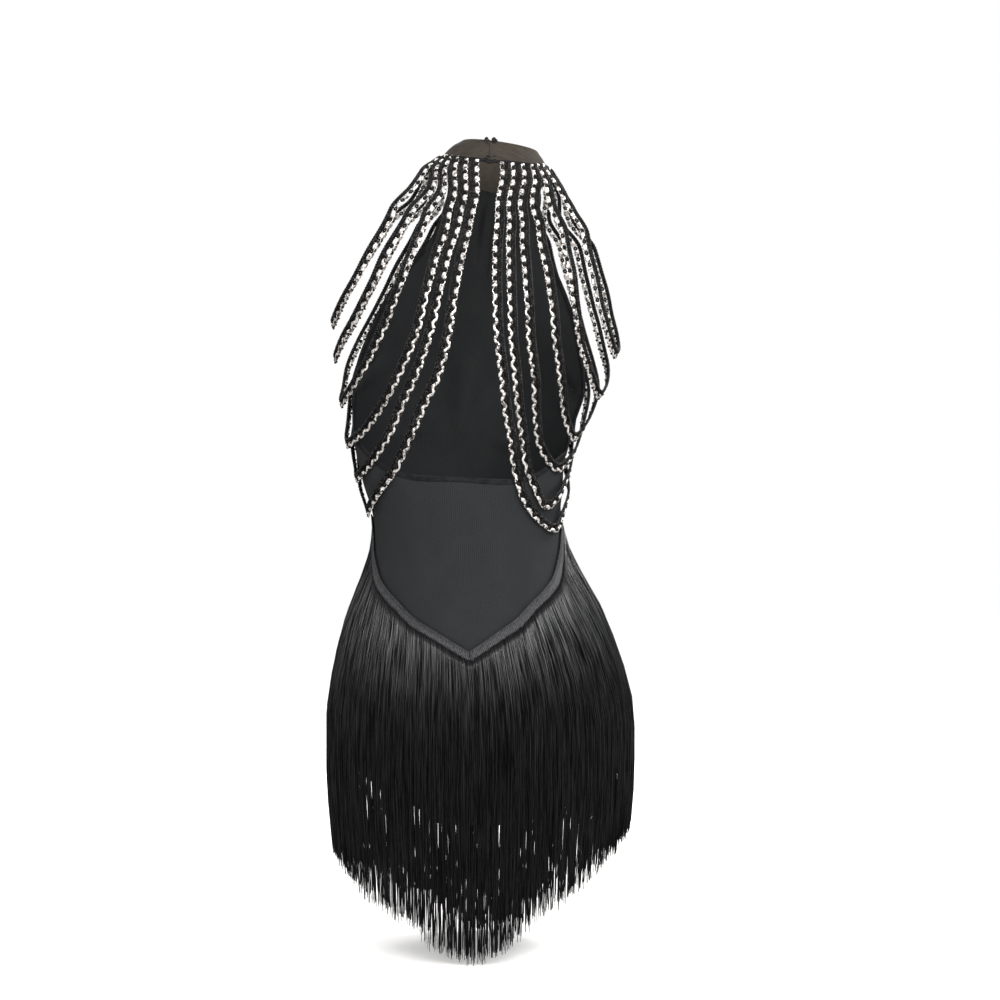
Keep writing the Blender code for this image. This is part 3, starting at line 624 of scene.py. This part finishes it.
# ---------------- leg elastics
# The brief's leg edges are turned over a narrow elastic of rubber and polyester, and stitched down on
# the outside. The fold goes round the whole leg, and is a soft black roll.
ELASTIC_WIDTH, ELASTIC_WALL = 0.0070, 0.0026
leg_trails = []
for sign in (1, -1):
    points, ups = [], []
    for side, centre in (("back", 0), ("front", 180)):
        line = [(sign * abs(centre - math.degrees(math.asin(min(1, half / section["half_width"](level))))),
                 level) for level, half in LEG_LINES[side]]
        rows = spline(line if side == "back" else line[::-1], BINDING_STEP)
        points.append(off_figure(rows[:, 0], rows[:, 1], CLOTH_WALL / 2))
        ups.append(outward(rows[:, 0], rows[:, 1]))
    points = np.concatenate([points[0], points[1][1:], points[0][:1]])
    ups = np.concatenate([ups[0], ups[1][1:], ups[0][:1]])
    leg_trails.append(trail_of(points, ups, -sign * 0.3 * ELASTIC_WIDTH))
leg_elastics = make_piece("leg_elastics", [
    part for way in leg_trails for part in (
        (strip(way, rounded(ELASTIC_WIDTH, ELASTIC_WALL), BINDING_STEP), 0),
        (stitches(way, 0.0, ELASTIC_WALL / 2), 1))], [binding_cloth, thread])

# ---------------- neckband
# A straight band of the jersey over stiff interfacing, folded along its top edge and topstitched. The
# bodice and the ends of the loops are caught in its lower seam, and it closes at the centre back.
BAND_WALL, BAND_INNER, BAND_TOP, FOLD_ROUND = 0.0022, 0.0008, 0.0107, 0.0008
BAND_COLUMNS, BAND_ROWS = 240, 24
BAND_SEAM_WIDTH, BAND_SEAM_WALL = 0.0026, 0.0034
TOP_ROW, LOW_ROW = 0.14, 0.80  # the rows of stitches, as shares of the band's depth
END_INSET = 0.6  # degrees from the slit to the ends of the seam and the stitches
BAND_COURSE = 0.0016  # courses of the knit, as coarse as the wales
SLIT_HALF = 0.00002  # the hooks draw the slit shut
BAND_CREASES = (
    (38, 0.002, 62, 0.026, 0.0022, -0.0005), (-44, 0.003, -58, 0.028, 0.0024, -0.0006),
    (74, 0.006, 80, 0.030, 0.0022, 0.0004), (-80, 0.004, -78, 0.026, 0.0022, -0.0004),
    (120, 0.000, 66, 0.034, 0.0026, -0.0006), (150, -0.006, 12, 0.026, 0.0024, 0.0005),
    (196, -0.008, -8, 0.028, 0.0026, -0.0006), (232, -0.002, -60, 0.034, 0.0026, -0.0005),
    (16, 0.004, 20, 0.020, 0.0020, -0.0004), (-18, 0.000, -26, 0.020, 0.0020, 0.0004),
)
# The jersey again, coloured a matt dark grey that is lighter than the panels.
band_cloth, tree = new_material("jersey_neckband_dark_grey")
place = add_node(tree, "UVMap", {}, uv_map="cloth")
cloud = add_node(tree, "TexNoise", {"Vector": place, "Scale": 110.0, "Detail": 5.0})
courses = add_node(tree, "TexWave", {"Vector": place, "Scale": WAVE_BAND / BAND_COURSE,
                   "Distortion": 1.5, "Detail": 2.0}, bands_direction="Y")
tone = add_node(tree, "Math", {0: courses.outputs["Fac"], 1: 0.35}, operation="MULTIPLY")
tone = add_node(tree, "Math", {0: cloud, 1: 0.8, 2: tone}, operation="MULTIPLY_ADD")
finish(tree, tone, ((0.30, "#2c2925"), (0.85, "#433d37")),
       {"Roughness": 0.8, "Specular IOR Level": 0.05}, (0.35, 0.0003))

slit = math.degrees(SLIT_HALF / section["back"](BAND_TOP))
turn, fall = across_and_down(slit, 360 - slit, BAND_COLUMNS, BAND_ROWS)
low = band_bottom(np.minimum(turn, 360 - turn))
level = BAND_TOP + fall * (low - BAND_TOP)
neckband = cloth("neckband_jersey", turn, level,
                 BAND_INNER + creases(turn, level, BAND_CREASES), band_cloth, BAND_WALL)
apply_modifier(neckband, "BEVEL", width=FOLD_ROUND, segments=3, angle_limit=math.radians(50))
bpy.ops.object.shade_smooth_by_angle(angle=math.radians(40))
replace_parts(neckband, "neckband")


def band_trail(share):
    """A trail round the band's outer face, from its top edge (0) to its lower edge (1)."""
    angles = np.linspace(slit + END_INSET, 360 - slit - END_INSET, 180)
    lows = band_bottom(np.minimum(angles, 360 - angles))
    return trail(np.stack([angles, BAND_TOP + share * (lows - BAND_TOP)], axis=1),
                 BAND_INNER + BAND_WALL)


band_seam = make_piece("band_seam", [
    (strip(band_trail(1.0), rounded(BAND_SEAM_WIDTH, BAND_SEAM_WALL, 8, -0.0002), 0.003), 0),
    (stitches(band_trail(TOP_ROW), 0.0, 0.0001), 1),
    (stitches(band_trail(LOW_ROW), 0.0, 0.0001), 1),
], [binding_cloth, thread])

# ---------------- hooks and eyes
# Two black enamelled wire hooks with their round eyes close the band. Each is sewn on with a lump of
# thread at its shank, and both lie on the outside of the slit.
WIRE, EYE_RADIUS, EYE_CENTRE, EYE_POINTS, SEAM_GAP = 0.00045, 0.0022, -0.0016, 14, 0.0003
HOOK_LEVELS = {"upper": 0.0085, "lower": -0.0075}
# The hook's bow: to the right, out and up.
HOOK_BOW = ((0.0062, 0.0000, 0.0012), (0.0052, 0.0000, 0.0021), (0.0040, 0.0000, 0.0012),
            (0.0034, 0.0003, 0.0000), (0.0022, 0.0010, 0.0000), (0.0010, 0.0012, 0.0000),
            (-0.0006, 0.0012, 0.0000), (-0.0014, 0.0008, 0.0000), (-0.0016, 0.0002, 0.0000))
# Lumps of thread that the hooks and eyes are sewn on with, above the band's top edge and under its
# lower one: height, place to the right, size.
KNOTS = (
    (0.0117, -0.0036, 0.0021), (0.0096, -0.0045, 0.0017), (0.0118, 0.0046, 0.0025), (0.0104, 0.0070, 0.0020),
    (0.0088, 0.0052, 0.0019), (-0.0110, -0.0050, 0.0019), (-0.0126, -0.0022, 0.0022),
    (-0.0130, 0.0010, 0.0021), (-0.0122, 0.0042, 0.0021), (-0.0104, 0.0058, 0.0016),
)
KNOT_FLAT, KNOT_TURNS, KNOT_TURN_RISE = 0.6, 9, 0.10

# Enamelled steel wire: glossy black, a little worn to grey where it rubs.
enamel, tree = new_material("steel_wire_enamelled_black")
place = add_node(tree, "TexCoord", {}).outputs["Object"]
grain = add_node(tree, "TexNoise", {"Vector": place, "Scale": 900.0, "Detail": 3.0})
finish(tree, grain, ((0.55, "#141415"), (0.75, "#4a4a4c")), {"Roughness": 0.3})


def wire_piece(name, path, closed):
    """A bent wire, drawn as a curve with a round section and made a mesh."""
    curve = bpy.data.curves.new(name, "CURVE")
    curve.dimensions, curve.bevel_depth, curve.bevel_resolution = "3D", WIRE, 2
    curve.use_fill_caps = True
    bend = curve.splines.new("NURBS")
    bend.points.add(len(path) - 1)
    for point, place in zip(bend.points, path):
        point.co = (*place, 1)
    bend.use_cyclic_u, bend.use_endpoint_u, bend.order_u, bend.resolution_u = closed, not closed, 3, 4
    piece = bpy.data.objects.new(name, curve)
    bpy.context.collection.objects.link(piece)
    pick(piece)
    bpy.ops.object.convert(target="MESH")
    piece = bpy.context.object
    bpy.ops.object.shade_smooth()
    piece.data.materials.append(enamel)
    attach(piece, "root")
    return piece


def by_the_slit(height, right, out, up):
    """Points on the outside of the band, so far to the right, out and up from the slit at a height."""
    away = outward(0.0, height)
    sideways = unit(on_figure(-1.0, height) - on_figure(1.0, height))
    moves = np.stack(np.broadcast_arrays(right, out, up), axis=-1)
    return (off_figure(0.0, height, BAND_INNER + BAND_WALL)
            + moves @ np.stack([sideways, away, np.cross(away, sideways)]))


lie, turns = WIRE + SEAM_GAP, np.linspace(0, 2 * np.pi, EYE_POINTS, endpoint=False)
for name, height in HOOK_LEVELS.items():
    eye = by_the_slit(height, EYE_CENTRE + EYE_RADIUS * np.cos(turns), lie, EYE_RADIUS * np.sin(turns))
    right, out, up = np.transpose(HOOK_BOW)
    bow = by_the_slit(height, right, lie + out, up)
    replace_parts(wire_piece(f"eye_{name}_wire", eye, True), f"eye_{name}")
    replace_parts(wire_piece(f"hook_{name}_wire", bow, False), f"hook_{name}")
knot_parts = []
for height, right, size in KNOTS:
    pick()
    bpy.ops.mesh.primitive_uv_sphere_add(segments=14, ring_count=10, radius=size)
    points, faces = taken(bpy.context.object)
    faces = [face[::-1] for face in faces]  # the places by the slit mirror them
    x, y, z = points.T
    wound = 1 + KNOT_TURN_RISE * np.sin(z / size * KNOT_TURNS)  # turns of thread round it
    knot_parts.append(((by_the_slit(height, right + x * wound, KNOT_FLAT * y * wound, z), faces), 0))
hook_thread = make_piece("hook_thread", knot_parts, [thread])

# ---------------- fringe on its heading tape
# Long rayon fringe, knotted in the loom into a ribbed heading tape, which is stitched along its upper
# edge over the pointed seam. The threads hang over the hips and then straight down, cut to a point at
# the centre and slightly uneven, as scissors leave them.
TAPE_WIDTH, TAPE_WALL, TAPE_INNER, TAPE_ABOVE = 0.0105, 0.0012, 0.0019, 0.0015
TAPE_COLUMNS, TAPE_ROWS, TAPE_RIB = 90, 10, 0.00035
TAPE_SEWN = 0.08  # of its width, from its upper edge to the stitches
TAPE_WEFT = 0.0019  # ribs of the weave, coarser than they are, so that they show
FRINGE_SPREAD, FRINGE_SPREAD_FALL = 0.0042, 0.10
FRINGE_DRAW, FRINGE_DRAW_TOP, FRINGE_DRAW_FALL = 0.009, -0.640, 0.14
HIP_STATION = -0.590  # where the hip is widest, and the fringe hangs free of it
FRINGE_TIPS = ((0, -0.826), (8, -0.820), (14, -0.811), (20, -0.796), (28, -0.781), (36, -0.773),
               (47, -0.759), (57, -0.743), (70, -0.726), (90, -0.706))
TIP_SKEW = -0.010
THREADS, THREAD_RINGS, THREAD_SIDES = 900, 12, 4  # in each quarter
THREAD_THICK = 0.00070
THREAD_ROOTS = (0.66, 0.86)  # the threads leave the tape between these shares of its width
THREAD_LAYERS = 0.0036  # the fringe is this deep
THREAD_STRAY, THREAD_SWAY = 0.0022, 0.0007  # it strays sideways towards its tip, and sways on its way
HIP_RADIUS, FRINGE_LAP = 0.145, 0.6  # the quarters of the fringe lap by this many degrees
THREAD_LOCKS = 60       # threads cling together in this many locks
THREAD_CLING = 0.50
TIP_UNEVEN, LOCK_UNEVEN = 0.0065, 0.0050
fringe_tips = table(FRINGE_TIPS)


def tape_drop(turn):
    """How far down the tape reaches, which is more than its width where the seam slopes."""
    top = seam_at(turn) + TAPE_ABOVE
    run = np.linalg.norm((on_figure(turn + 1, top) - on_figure(turn - 1, top))[..., :2], axis=-1)
    return TAPE_WIDTH * np.hypot(1, (seam_at(turn + 1) - seam_at(turn - 1)) / run)


def hanging(turn, height, root, out):
    """A point of the fringe: down the hip, then straight down, drawn in a little at the tips."""
    station = np.maximum(height, HIP_STATION)
    place = on_figure(turn, station)
    lean = outward(turn, station) * (1, 1, 0)
    lean = lean / (lean ** 2).sum(axis=-1, keepdims=True)
    stand = (out + FRINGE_SPREAD * ease((root - height) / FRINGE_SPREAD_FALL)
             - FRINGE_DRAW * ease((FRINGE_DRAW_TOP - height) / FRINGE_DRAW_FALL))
    place[..., 2] += height - section["height"](station)
    return place + lean * stand[..., None]


def tubes(paths, up, thick, sides, flat=1.0):
    """Closed threads along paths (threads, rings, 3), as thick as given at each ring."""
    ahead = unit(np.gradient(paths, axis=1))
    over = unit(np.cross(ahead, up))
    up = np.cross(over, ahead)
    turns = np.linspace(0, 2 * np.pi, sides, endpoint=False)
    ring = over[:, :, None] * np.cos(turns)[:, None] + up[:, :, None] * np.sin(turns)[:, None] * flat
    points = paths[:, :, None] + ring * thick[:, :, None, None] / 2
    return points.reshape(-1, 3), tube_faces(*paths.shape[:2], sides)


# Rayon threads: deep black and silky, and glossy in long streaks. On their UV map U is a thread's own
# number and V the metres from its root, so a streak follows its thread.
rayon, tree = new_material("rayon_thread_twisted_black")
place = add_node(tree, "UVMap", {}, uv_map="cloth")
drawn = add_node(tree, "Mapping", {"Vector": place, "Scale": (3.7, 12.0, 1.0)})
streak = add_node(tree, "TexNoise", {"Vector": drawn, "Scale": 1.0, "Detail": 3.0})
drawn = add_node(tree, "Mapping", {"Vector": place, "Scale": (5.3, 20.0, 1.0)})
gloss = add_node(tree, "TexNoise", {"Vector": drawn, "Scale": 1.0, "Detail": 1.0})
gloss = add_node(tree, "MapRange", {"Value": gloss, "From Min": 0.43, "From Max": 0.62,
                 "To Min": 0.04, "To Max": 1.0})
from_root = add_node(tree, "SeparateXYZ", {"Vector": place}).outputs["Y"]
dull = add_node(tree, "MapRange", {"Value": from_root, "From Max": 0.012, "To Min": 0.3})
gloss = add_node(tree, "Math", {0: gloss, 1: dull}, operation="MULTIPLY")
finish(tree, streak, ((0.35, "#060607"), (0.75, "#1c1c1e")),
       {"Roughness": 0.30, "Specular IOR Level": gloss})

# The heading tape: rayon woven in close cross ribs, so that it catches more light than the jersey.
tape_cloth, tree = new_material("heading_tape_rayon_woven")
place = add_node(tree, "UVMap", {}, uv_map="cloth")
ribs = add_node(tree, "TexWave", {"Vector": place, "Scale": WAVE_BAND / TAPE_WEFT,
                "Distortion": 2.0, "Detail": 2.0}, bands_direction="X")
fuzz = add_node(tree, "TexNoise", {"Vector": place, "Scale": 420.0, "Detail": 4.0})
tone = add_node(tree, "Math", {0: ribs.outputs["Fac"], 1: 0.4}, operation="MULTIPLY")
tone = add_node(tree, "Math", {0: fuzz, 1: 1.0, 2: tone}, operation="MULTIPLY_ADD")
finish(tree, tone, ((0.46, "#111112"), (0.95, "#454547")),
       {"Roughness": 0.5, "Specular IOR Level": 0.15}, (0.6, 0.0005))

random = np.random.default_rng(7)
for name, start, end in (("back_left", 0, 90), ("back_right", -90, 0),
                         ("front_left", 90, 180), ("front_right", 180, 270)):
    # the tape, ruled straight down so that two of them meet in a mitre at the point
    turn, fall = across_and_down(start, end, TAPE_COLUMNS, TAPE_ROWS)
    top, drop = seam_at(turn) + TAPE_ABOVE, tape_drop(turn)
    level = top - fall * drop
    ribbed = TAPE_RIB * (np.cos(fall * 3 * np.pi) + 0.8 * (fall < TAPE_SEWN))
    tape = cloth(f"tape_{name}", turn, level, TAPE_INNER + ribbed, tape_cloth, TAPE_WALL)
    tape.data.materials.append(rayon)
    tape.data.materials.append(thread)
    # the threads, rooted in the tape's lower edge
    place = (np.arange(THREADS) + random.uniform(0.1, 0.9, THREADS)) / THREADS
    angle = start + (end - start) * place
    lock = start + (end - start) * (np.floor(place * THREAD_LOCKS) + 0.5) / THREAD_LOCKS
    root = (section["height"](seam_at(angle) + TAPE_ABOVE)
            - random.uniform(*THREAD_ROOTS, THREADS) * tape_drop(angle))
    tip = (fringe_tips(from_point(angle)) + TIP_SKEW * np.sin(np.radians(angle))
           + random.uniform(-TIP_UNEVEN, TIP_UNEVEN, THREADS) + LOCK_UNEVEN * np.sin(lock * 1.9))
    down = np.concatenate([[0, 0.03, 0.08], np.linspace(0.16, 1, THREAD_RINGS - 3)])
    height = root[:, None] + (tip - root)[:, None] * down
    out = (TAPE_INNER + (TAPE_WALL + 1.5 * TAPE_RIB) * (1 - ease(down * 8))
           + random.uniform(0, THREAD_LAYERS, THREADS)[:, None] * ease(down * 6))
    stray = random.normal(0, THREAD_STRAY, THREADS)[:, None] * down ** 1.6
    sway = random.uniform(0, 2 * np.pi, THREADS)[:, None]
    stray = stray + THREAD_SWAY * np.sin(sway + down * 9) * ease(down * 4)
    wander = np.degrees(stray / HIP_RADIUS) + (lock - angle)[:, None] * THREAD_CLING * down ** 2.5
    turns = np.clip(angle[:, None] + wander, start - FRINGE_LAP, end + FRINGE_LAP)
    paths = hanging(turns, height, root[:, None], out)
    thick = (THREAD_THICK * random.uniform(0.8, 1.25, THREADS)[:, None]
             * (0.4 + 0.6 * ease(down * 40)) * (1 - 0.25 * down ** 6))
    up = outward(np.repeat(angle[:, None], THREAD_RINGS, 1), np.maximum(height, HIP_STATION))
    number_and_run = np.stack([0 * height + np.arange(THREADS)[:, None], root[:, None] - height], axis=-1)
    threads = make_piece(f"threads_{name}", [(tubes(paths, up, thick, THREAD_SIDES), 0)], [rayon],
                         uv=np.repeat(number_and_run, THREAD_SIDES, axis=1))
    row = np.stack([turn[0], (top - TAPE_SEWN * drop)[0]], axis=1)
    row = trail(row, TAPE_INNER + TAPE_WALL + TAPE_RIB)
    sewing = make_piece(f"sewing_{name}", [(stitches(row, 0, 0), 0)], [thread])
    pick(threads, sewing, tape)
    bpy.ops.object.join()
    tape.name = f"fringe_{name}_rayon"
    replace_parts(tape, f"fringe_{name}")

# ---------------- braided loops
# Six loops on each side of a ready-made trim: a flat three-strand plait of black cord, small knitted
# black tabs along its edge towards the centre line, a silver cord that winds round the tabs, and a
# glass stone glued in each bay between two of them. Both ends of a loop are sewn into the neckband.
LOOP_WALL, LOOP_INNER, LOOP_STEP = 0.0020, 0.0020, 0.002
LOOP_LIFT, LOOP_LIFT_TOP, LOOP_LIFT_FALL, LOOP_SIDE_SPREAD = 0.0030, -0.330, 0.025, 20.0
BACK_STATIONS = (-0.045, -0.080, -0.120, -0.160, -0.200, -0.240, -0.270, -0.300, -0.330, -0.355)
FRONT_STATIONS = (-0.045, -0.080, -0.120, -0.160, -0.200, -0.230, -0.260, -0.300, -0.340)
# How far the loops are held off the figure at the sides, over LOOP_SIDE_SPREAD degrees each way.
LOOP_SIDE = ((-0.150, 0.0040), (-0.190, 0.0045), (-0.270, 0.0070), (-0.310, 0.0060), (-0.345, 0.0025),
             (-0.380, 0.0000))
# The angles at which each loop leaves the band, behind and in front.
LOOP_ROOTS = {1: (68.0, 103.0), 2: (57.5, 119.8), 3: (47.0, 134.5), 4: (36.0, 149.0), 5: (25.3, 161.5),
              6: (14.6, 172.3)}
LOOPS = (
    # side, loop, angles at BACK_STATIONS, lowest angle and station, angles at FRONT_STATIONS
    ("left", 1, (38.5, 37.5, 44.0, 60.0), 90, -0.189, (140, 138, 130, 113)),
    ("left", 2, (29.5, 30.2, 36.5, 47.0, 67.0), 90, -0.224, (147, 145, 139, 127, 108)),
    ("left", 3, (24.0, 23.4, 26.4, 33.0, 42.0, 57.0), 90, -0.267, (153, 152, 146, 136, 121, 109, 97)),
    ("left", 4, (18.8, 15.6, 17.4, 20.8, 25.0, 33.0, 43.0, 64.0), 90, -0.306,
     (159, 158, 152, 143, 129, 118, 108, 95)),
    ("left", 5, (13.6, 11.6, 13.4, 15.7, 19.0, 24.5, 31.5, 40.0, 61.0), 90, -0.341,
     (165, 163.5, 158, 150, 137, 127, 117, 105)),
    ("left", 6, (8.3, 7.6, 8.5, 9.7, 11.0, 14.3, 20.0, 26.5, 37.0, 54.0), 90, -0.375,
     (171, 169, 165, 157, 146, 136, 126, 114, 101)),
    ("right", 1, (38.5, 36.5, 42.5, 57.0), 82, -0.189, (140, 138, 130, 113)),
    ("right", 2, (28.5, 27.5, 32.5, 41.0, 54.0), 80, -0.2345, (147, 145, 139, 125, 104)),
    ("right", 3, (20.3, 18.6, 23.2, 30.3, 38.0, 48.0, 63.0), 75, -0.2830, (153, 152, 146, 135, 118, 104, 92)),
    ("right", 4, (14.8, 12.6, 15.2, 20.0, 25.3, 32.4, 39.5, 48.3), 65, -0.3210,
     (159, 158, 152, 142, 127, 114, 102, 86)),
    ("right", 5, (9.6, 7.9, 9.7, 13.2, 17.4, 23.1, 30.0, 36.5, 41.5), 54, -0.3635,
     (165, 163.5, 158, 149, 136, 124, 113, 100, 76)),
    ("right", 6, (4.6, 3.6, 4.8, 7.6, 11.4, 16.9, 23.0, 29.3, 32.8, 36.6), 63, -0.3905,
     (171, 169, 165, 157, 145, 134, 124, 112, 93)),
)
# Across the trim, 0 is its middle and the plait's side is positive. Where the trim is pulled straight, as
# below the neckband, its tabs are long and the silver cord lies spread in the bays between them. Where it
# is slack the cord stands in waves round shorter tabs, with a small picot in each bay.
PULLED = ((-0.140, 1.0), (-0.185, 0.0), (-0.300, 0.0), (-0.345, 0.6))
PLAIT_MIDDLE, PLAIT_SWING, PLAIT_RISE, PLAIT_STRAND = 0.0024, 0.0017, 0.0006, 0.0021
PLAIT_PERIOD, PLAIT_POINTS = 0.0090, 7
TRIM_PITCH = 0.0125
TAB_MIDDLE, TAB_WIDE, TAB_LONG, TAB_CORD, TAB_RING = -0.0026, 0.0050, 0.0054, 0.0020, 0.0013
TAB_DOMED, SHORT_TAB_MIDDLE = 1.25, -0.0019
SHORT_TAB = (0.9, 0.70, 1.1)  # its length, width and height, as shares of a long tab's
SILVER_POINTS, SILVER_FLAT = 14, 0.5
# The cord's middle, its swing, and its widths round a tab and in a bay.
SILVER_OPEN, SILVER_WAVES = (-0.0040, 0.0012, 0.0006, 0.0054), (-0.0034, 0.0014, 0.0029, 0.0034)
SILVER_LUMPS, SILVER_LUMP = 3, 0.20  # the film is wound in lumps, so many to a tab, and thicker by this
PICOT_MIDDLE, PICOT_SIZE = -0.0053, 0.0015
STONE_MIDDLE, STONE_SIZE, STONE_HEIGHT, STONE_RAISED = -0.0027, 0.0030, 0.0017, 0.0006
STONE_TABLE, STONE_CROWN, STONE_BACK = 0.27, 0.6, 0.45  # of its size, its height and its girdle

# Rayon cord, dyed black and matt, with grey specks painted on as the plait's highlights.
cord, tree = new_material("cord_rayon_plaited_black")
place = add_node(tree, "TexCoord", {}).outputs["Object"]
painted_highlight_specks = add_node(tree, "TexNoise", {"Vector": place, "Scale": 560.0, "Detail": 4.0})
# the grey shade is a painted highlight; the black is the cord's own colour
finish(tree, painted_highlight_specks, ((0.52, "#050505"), (0.70, "#464342")),
       {"Roughness": 0.5, "Specular IOR Level": 0.15}, (0.9, 0.0005))

# The silver cord: aluminised polyester film wound round a core, so it glitters in short bright pieces.
silver_film, tree = new_material("polyester_film_aluminised_wound")
place = add_node(tree, "TexCoord", {}).outputs["Object"]
wound = add_node(tree, "TexNoise", {"Vector": place, "Scale": 380.0, "Detail": 4.0})
finish(tree, wound, ((0.40, "#3c3531"), (0.56, "#fcf6f0")),
       {"Metallic": 0.6, "Roughness": 0.32}, (0.6, 0.0004))

# Glass rhinestones with a foil back: cut glass over silver, so each facet is a small mirror.
stone_glass, tree = new_material("glass_rhinestone_foiled")
place = add_node(tree, "TexCoord", {}).outputs["Object"]
cut = add_node(tree, "TexVoronoi", {"Vector": place, "Scale": 700.0})
finish(tree, cut, ((0.1, "#ffffff"), (0.7, "#d3d4d8")), {"Metallic": 0.7, "Roughness": 0.08})

# One tab: a little ring of cord, pressed long along the trim.
pick()
bpy.ops.mesh.primitive_torus_add(major_segments=8, minor_segments=4, major_radius=TAB_RING,
                                 minor_radius=TAB_CORD / 2)
tab = bpy.context.object
bpy.ops.object.mode_set(mode="EDIT")
bpy.ops.mesh.select_all(action="SELECT")
wide = 2 * TAB_RING + TAB_CORD
bpy.ops.transform.resize(value=(TAB_LONG / wide, TAB_WIDE / wide, TAB_DOMED))
bpy.ops.object.mode_set(mode="OBJECT")
tab_unit = taken(tab)
short_tab_unit = (tab_unit[0] * SHORT_TAB, tab_unit[1])

# One picot: a small round loop of the same cord, drawn tight.
pick()
bpy.ops.mesh.primitive_ico_sphere_add(subdivisions=1, radius=PICOT_SIZE)
picot_unit = taken(bpy.context.object)

# One stone: eight crown facets round a flat table, and a foil cone behind.
pick()
crown = STONE_HEIGHT * STONE_CROWN
bpy.ops.mesh.primitive_cone_add(vertices=8, radius1=STONE_SIZE / 2, radius2=STONE_SIZE * STONE_TABLE,
                                depth=crown, location=(0, 0, crown / 2))
stone = bpy.context.object
bpy.ops.object.transform_apply(location=True, rotation=True, scale=True)
bpy.ops.object.mode_set(mode="EDIT")
bpy.ops.mesh.select_all(action="DESELECT")
bpy.ops.object.mode_set(mode="OBJECT")
for face in stone.data.polygons:
    face.select = face.normal.z < -0.9
bpy.ops.object.mode_set(mode="EDIT")
bpy.ops.mesh.select_mode(type="FACE")
bpy.ops.mesh.extrude_region_move(TRANSFORM_OT_translate={"value": (0, 0, crown - STONE_HEIGHT)})
bpy.ops.transform.resize(value=(STONE_BACK, STONE_BACK, 1))
bpy.ops.object.mode_set(mode="OBJECT")
stone_unit = taken(stone)


def away(way, s):
    """The way out of the figure along a trail."""
    return lay(way, s, 0 * s, 0 * s + 1) - lay(way, s, 0 * s, 0 * s)


loop_side, pulled = table(LOOP_SIDE), table(PULLED)
for side, number, back_angles, lowest_angle, lowest_station, front_angles in LOOPS:
    back_root, front_root = LOOP_ROOTS[number]
    rows = [(back_root, float(band_bottom(back_root)))] + list(zip(back_angles, BACK_STATIONS))
    rows += [(lowest_angle, lowest_station)] + list(zip(front_angles, FRONT_STATIONS))[::-1]
    rows.append((front_root, float(band_bottom(front_root))))
    hand = 1 if side == "left" else -1
    rows = spline(rows, LOOP_STEP) * (hand, 1)
    lift = LOOP_LIFT * ease((LOOP_LIFT_TOP - rows[:, 1]) / LOOP_LIFT_FALL)
    lift += loop_side(rows[:, 1]) * np.exp(-((abs(rows[:, 0]) - 90) / LOOP_SIDE_SPREAD) ** 2)
    way = trail(rows, LOOP_INNER + LOOP_WALL / 2 + lift)
    whole = way["length"][-1]
    # the plait
    s = np.linspace(0, whole, round(whole / PLAIT_PERIOD * PLAIT_POINTS))
    phase = 2 * np.pi * (s[None] / PLAIT_PERIOD + np.arange(3)[:, None] / 3)
    strands = lay(way, np.repeat(s[None], 3, 0), hand * (PLAIT_MIDDLE + PLAIT_SWING * np.sin(phase)),
                  PLAIT_RISE * np.sin(2 * phase))
    plait = tubes(strands, np.repeat(away(way, s)[None], 3, 0), np.full(strands.shape[:2], PLAIT_STRAND), 4)
    # the silver cord: round a tab, then in to the plait and out again
    pitches = max(1, round(whole / TRIM_PITCH))
    pitch = whole / pitches
    t = np.linspace(0, pitches, pitches * SILVER_POINTS + 1)
    s = pitch * t
    open_at = pulled(np.interp(s, way["length"], rows[:, 1]))
    middle, swing, thin, full = (b + (a - b) * open_at for a, b in zip(SILVER_OPEN, SILVER_WAVES))
    in_bay = ease(0.5 + np.cos(2 * np.pi * t) * (0.5 + 1.6 * open_at))
    wave = lay(way, s, hand * (middle + swing * np.cos(2 * np.pi * t)), 0 * s)[None]
    lumps = 1 + SILVER_LUMP * (1 - open_at) * np.cos(2 * np.pi * SILVER_LUMPS * t)
    silver = tubes(wave, away(way, s)[None], (lumps * (thin + (full - thin) * in_bay))[None], 6, SILVER_FLAT)
    # what sits between its waves
    bays = pitch * np.arange(1, pitches)
    is_open = pulled(np.interp(bays, way["length"], rows[:, 1])) > 0.5
    long_tabs = repeated(way, tab_unit, bays[is_open] - pitch / 2, hand * TAB_MIDDLE)
    short_tabs = repeated(way, short_tab_unit, bays[~is_open] - pitch / 2, hand * SHORT_TAB_MIDDLE)
    picots = repeated(way, picot_unit, bays[~is_open], hand * PICOT_MIDDLE)
    stones = repeated(way, stone_unit, bays[is_open], hand * STONE_MIDDLE, STONE_RAISED)
    loop = make_piece(f"loop_{side}_{number}_braid", [
        (plait, 0), (long_tabs, 0), (short_tabs, 0), (picots, 0), (silver, 1), (stones, 2)],
        [cord, silver_film, stone_glass], faceted=2)
    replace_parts(loop, f"loop_{side}_{number}")

low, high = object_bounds()
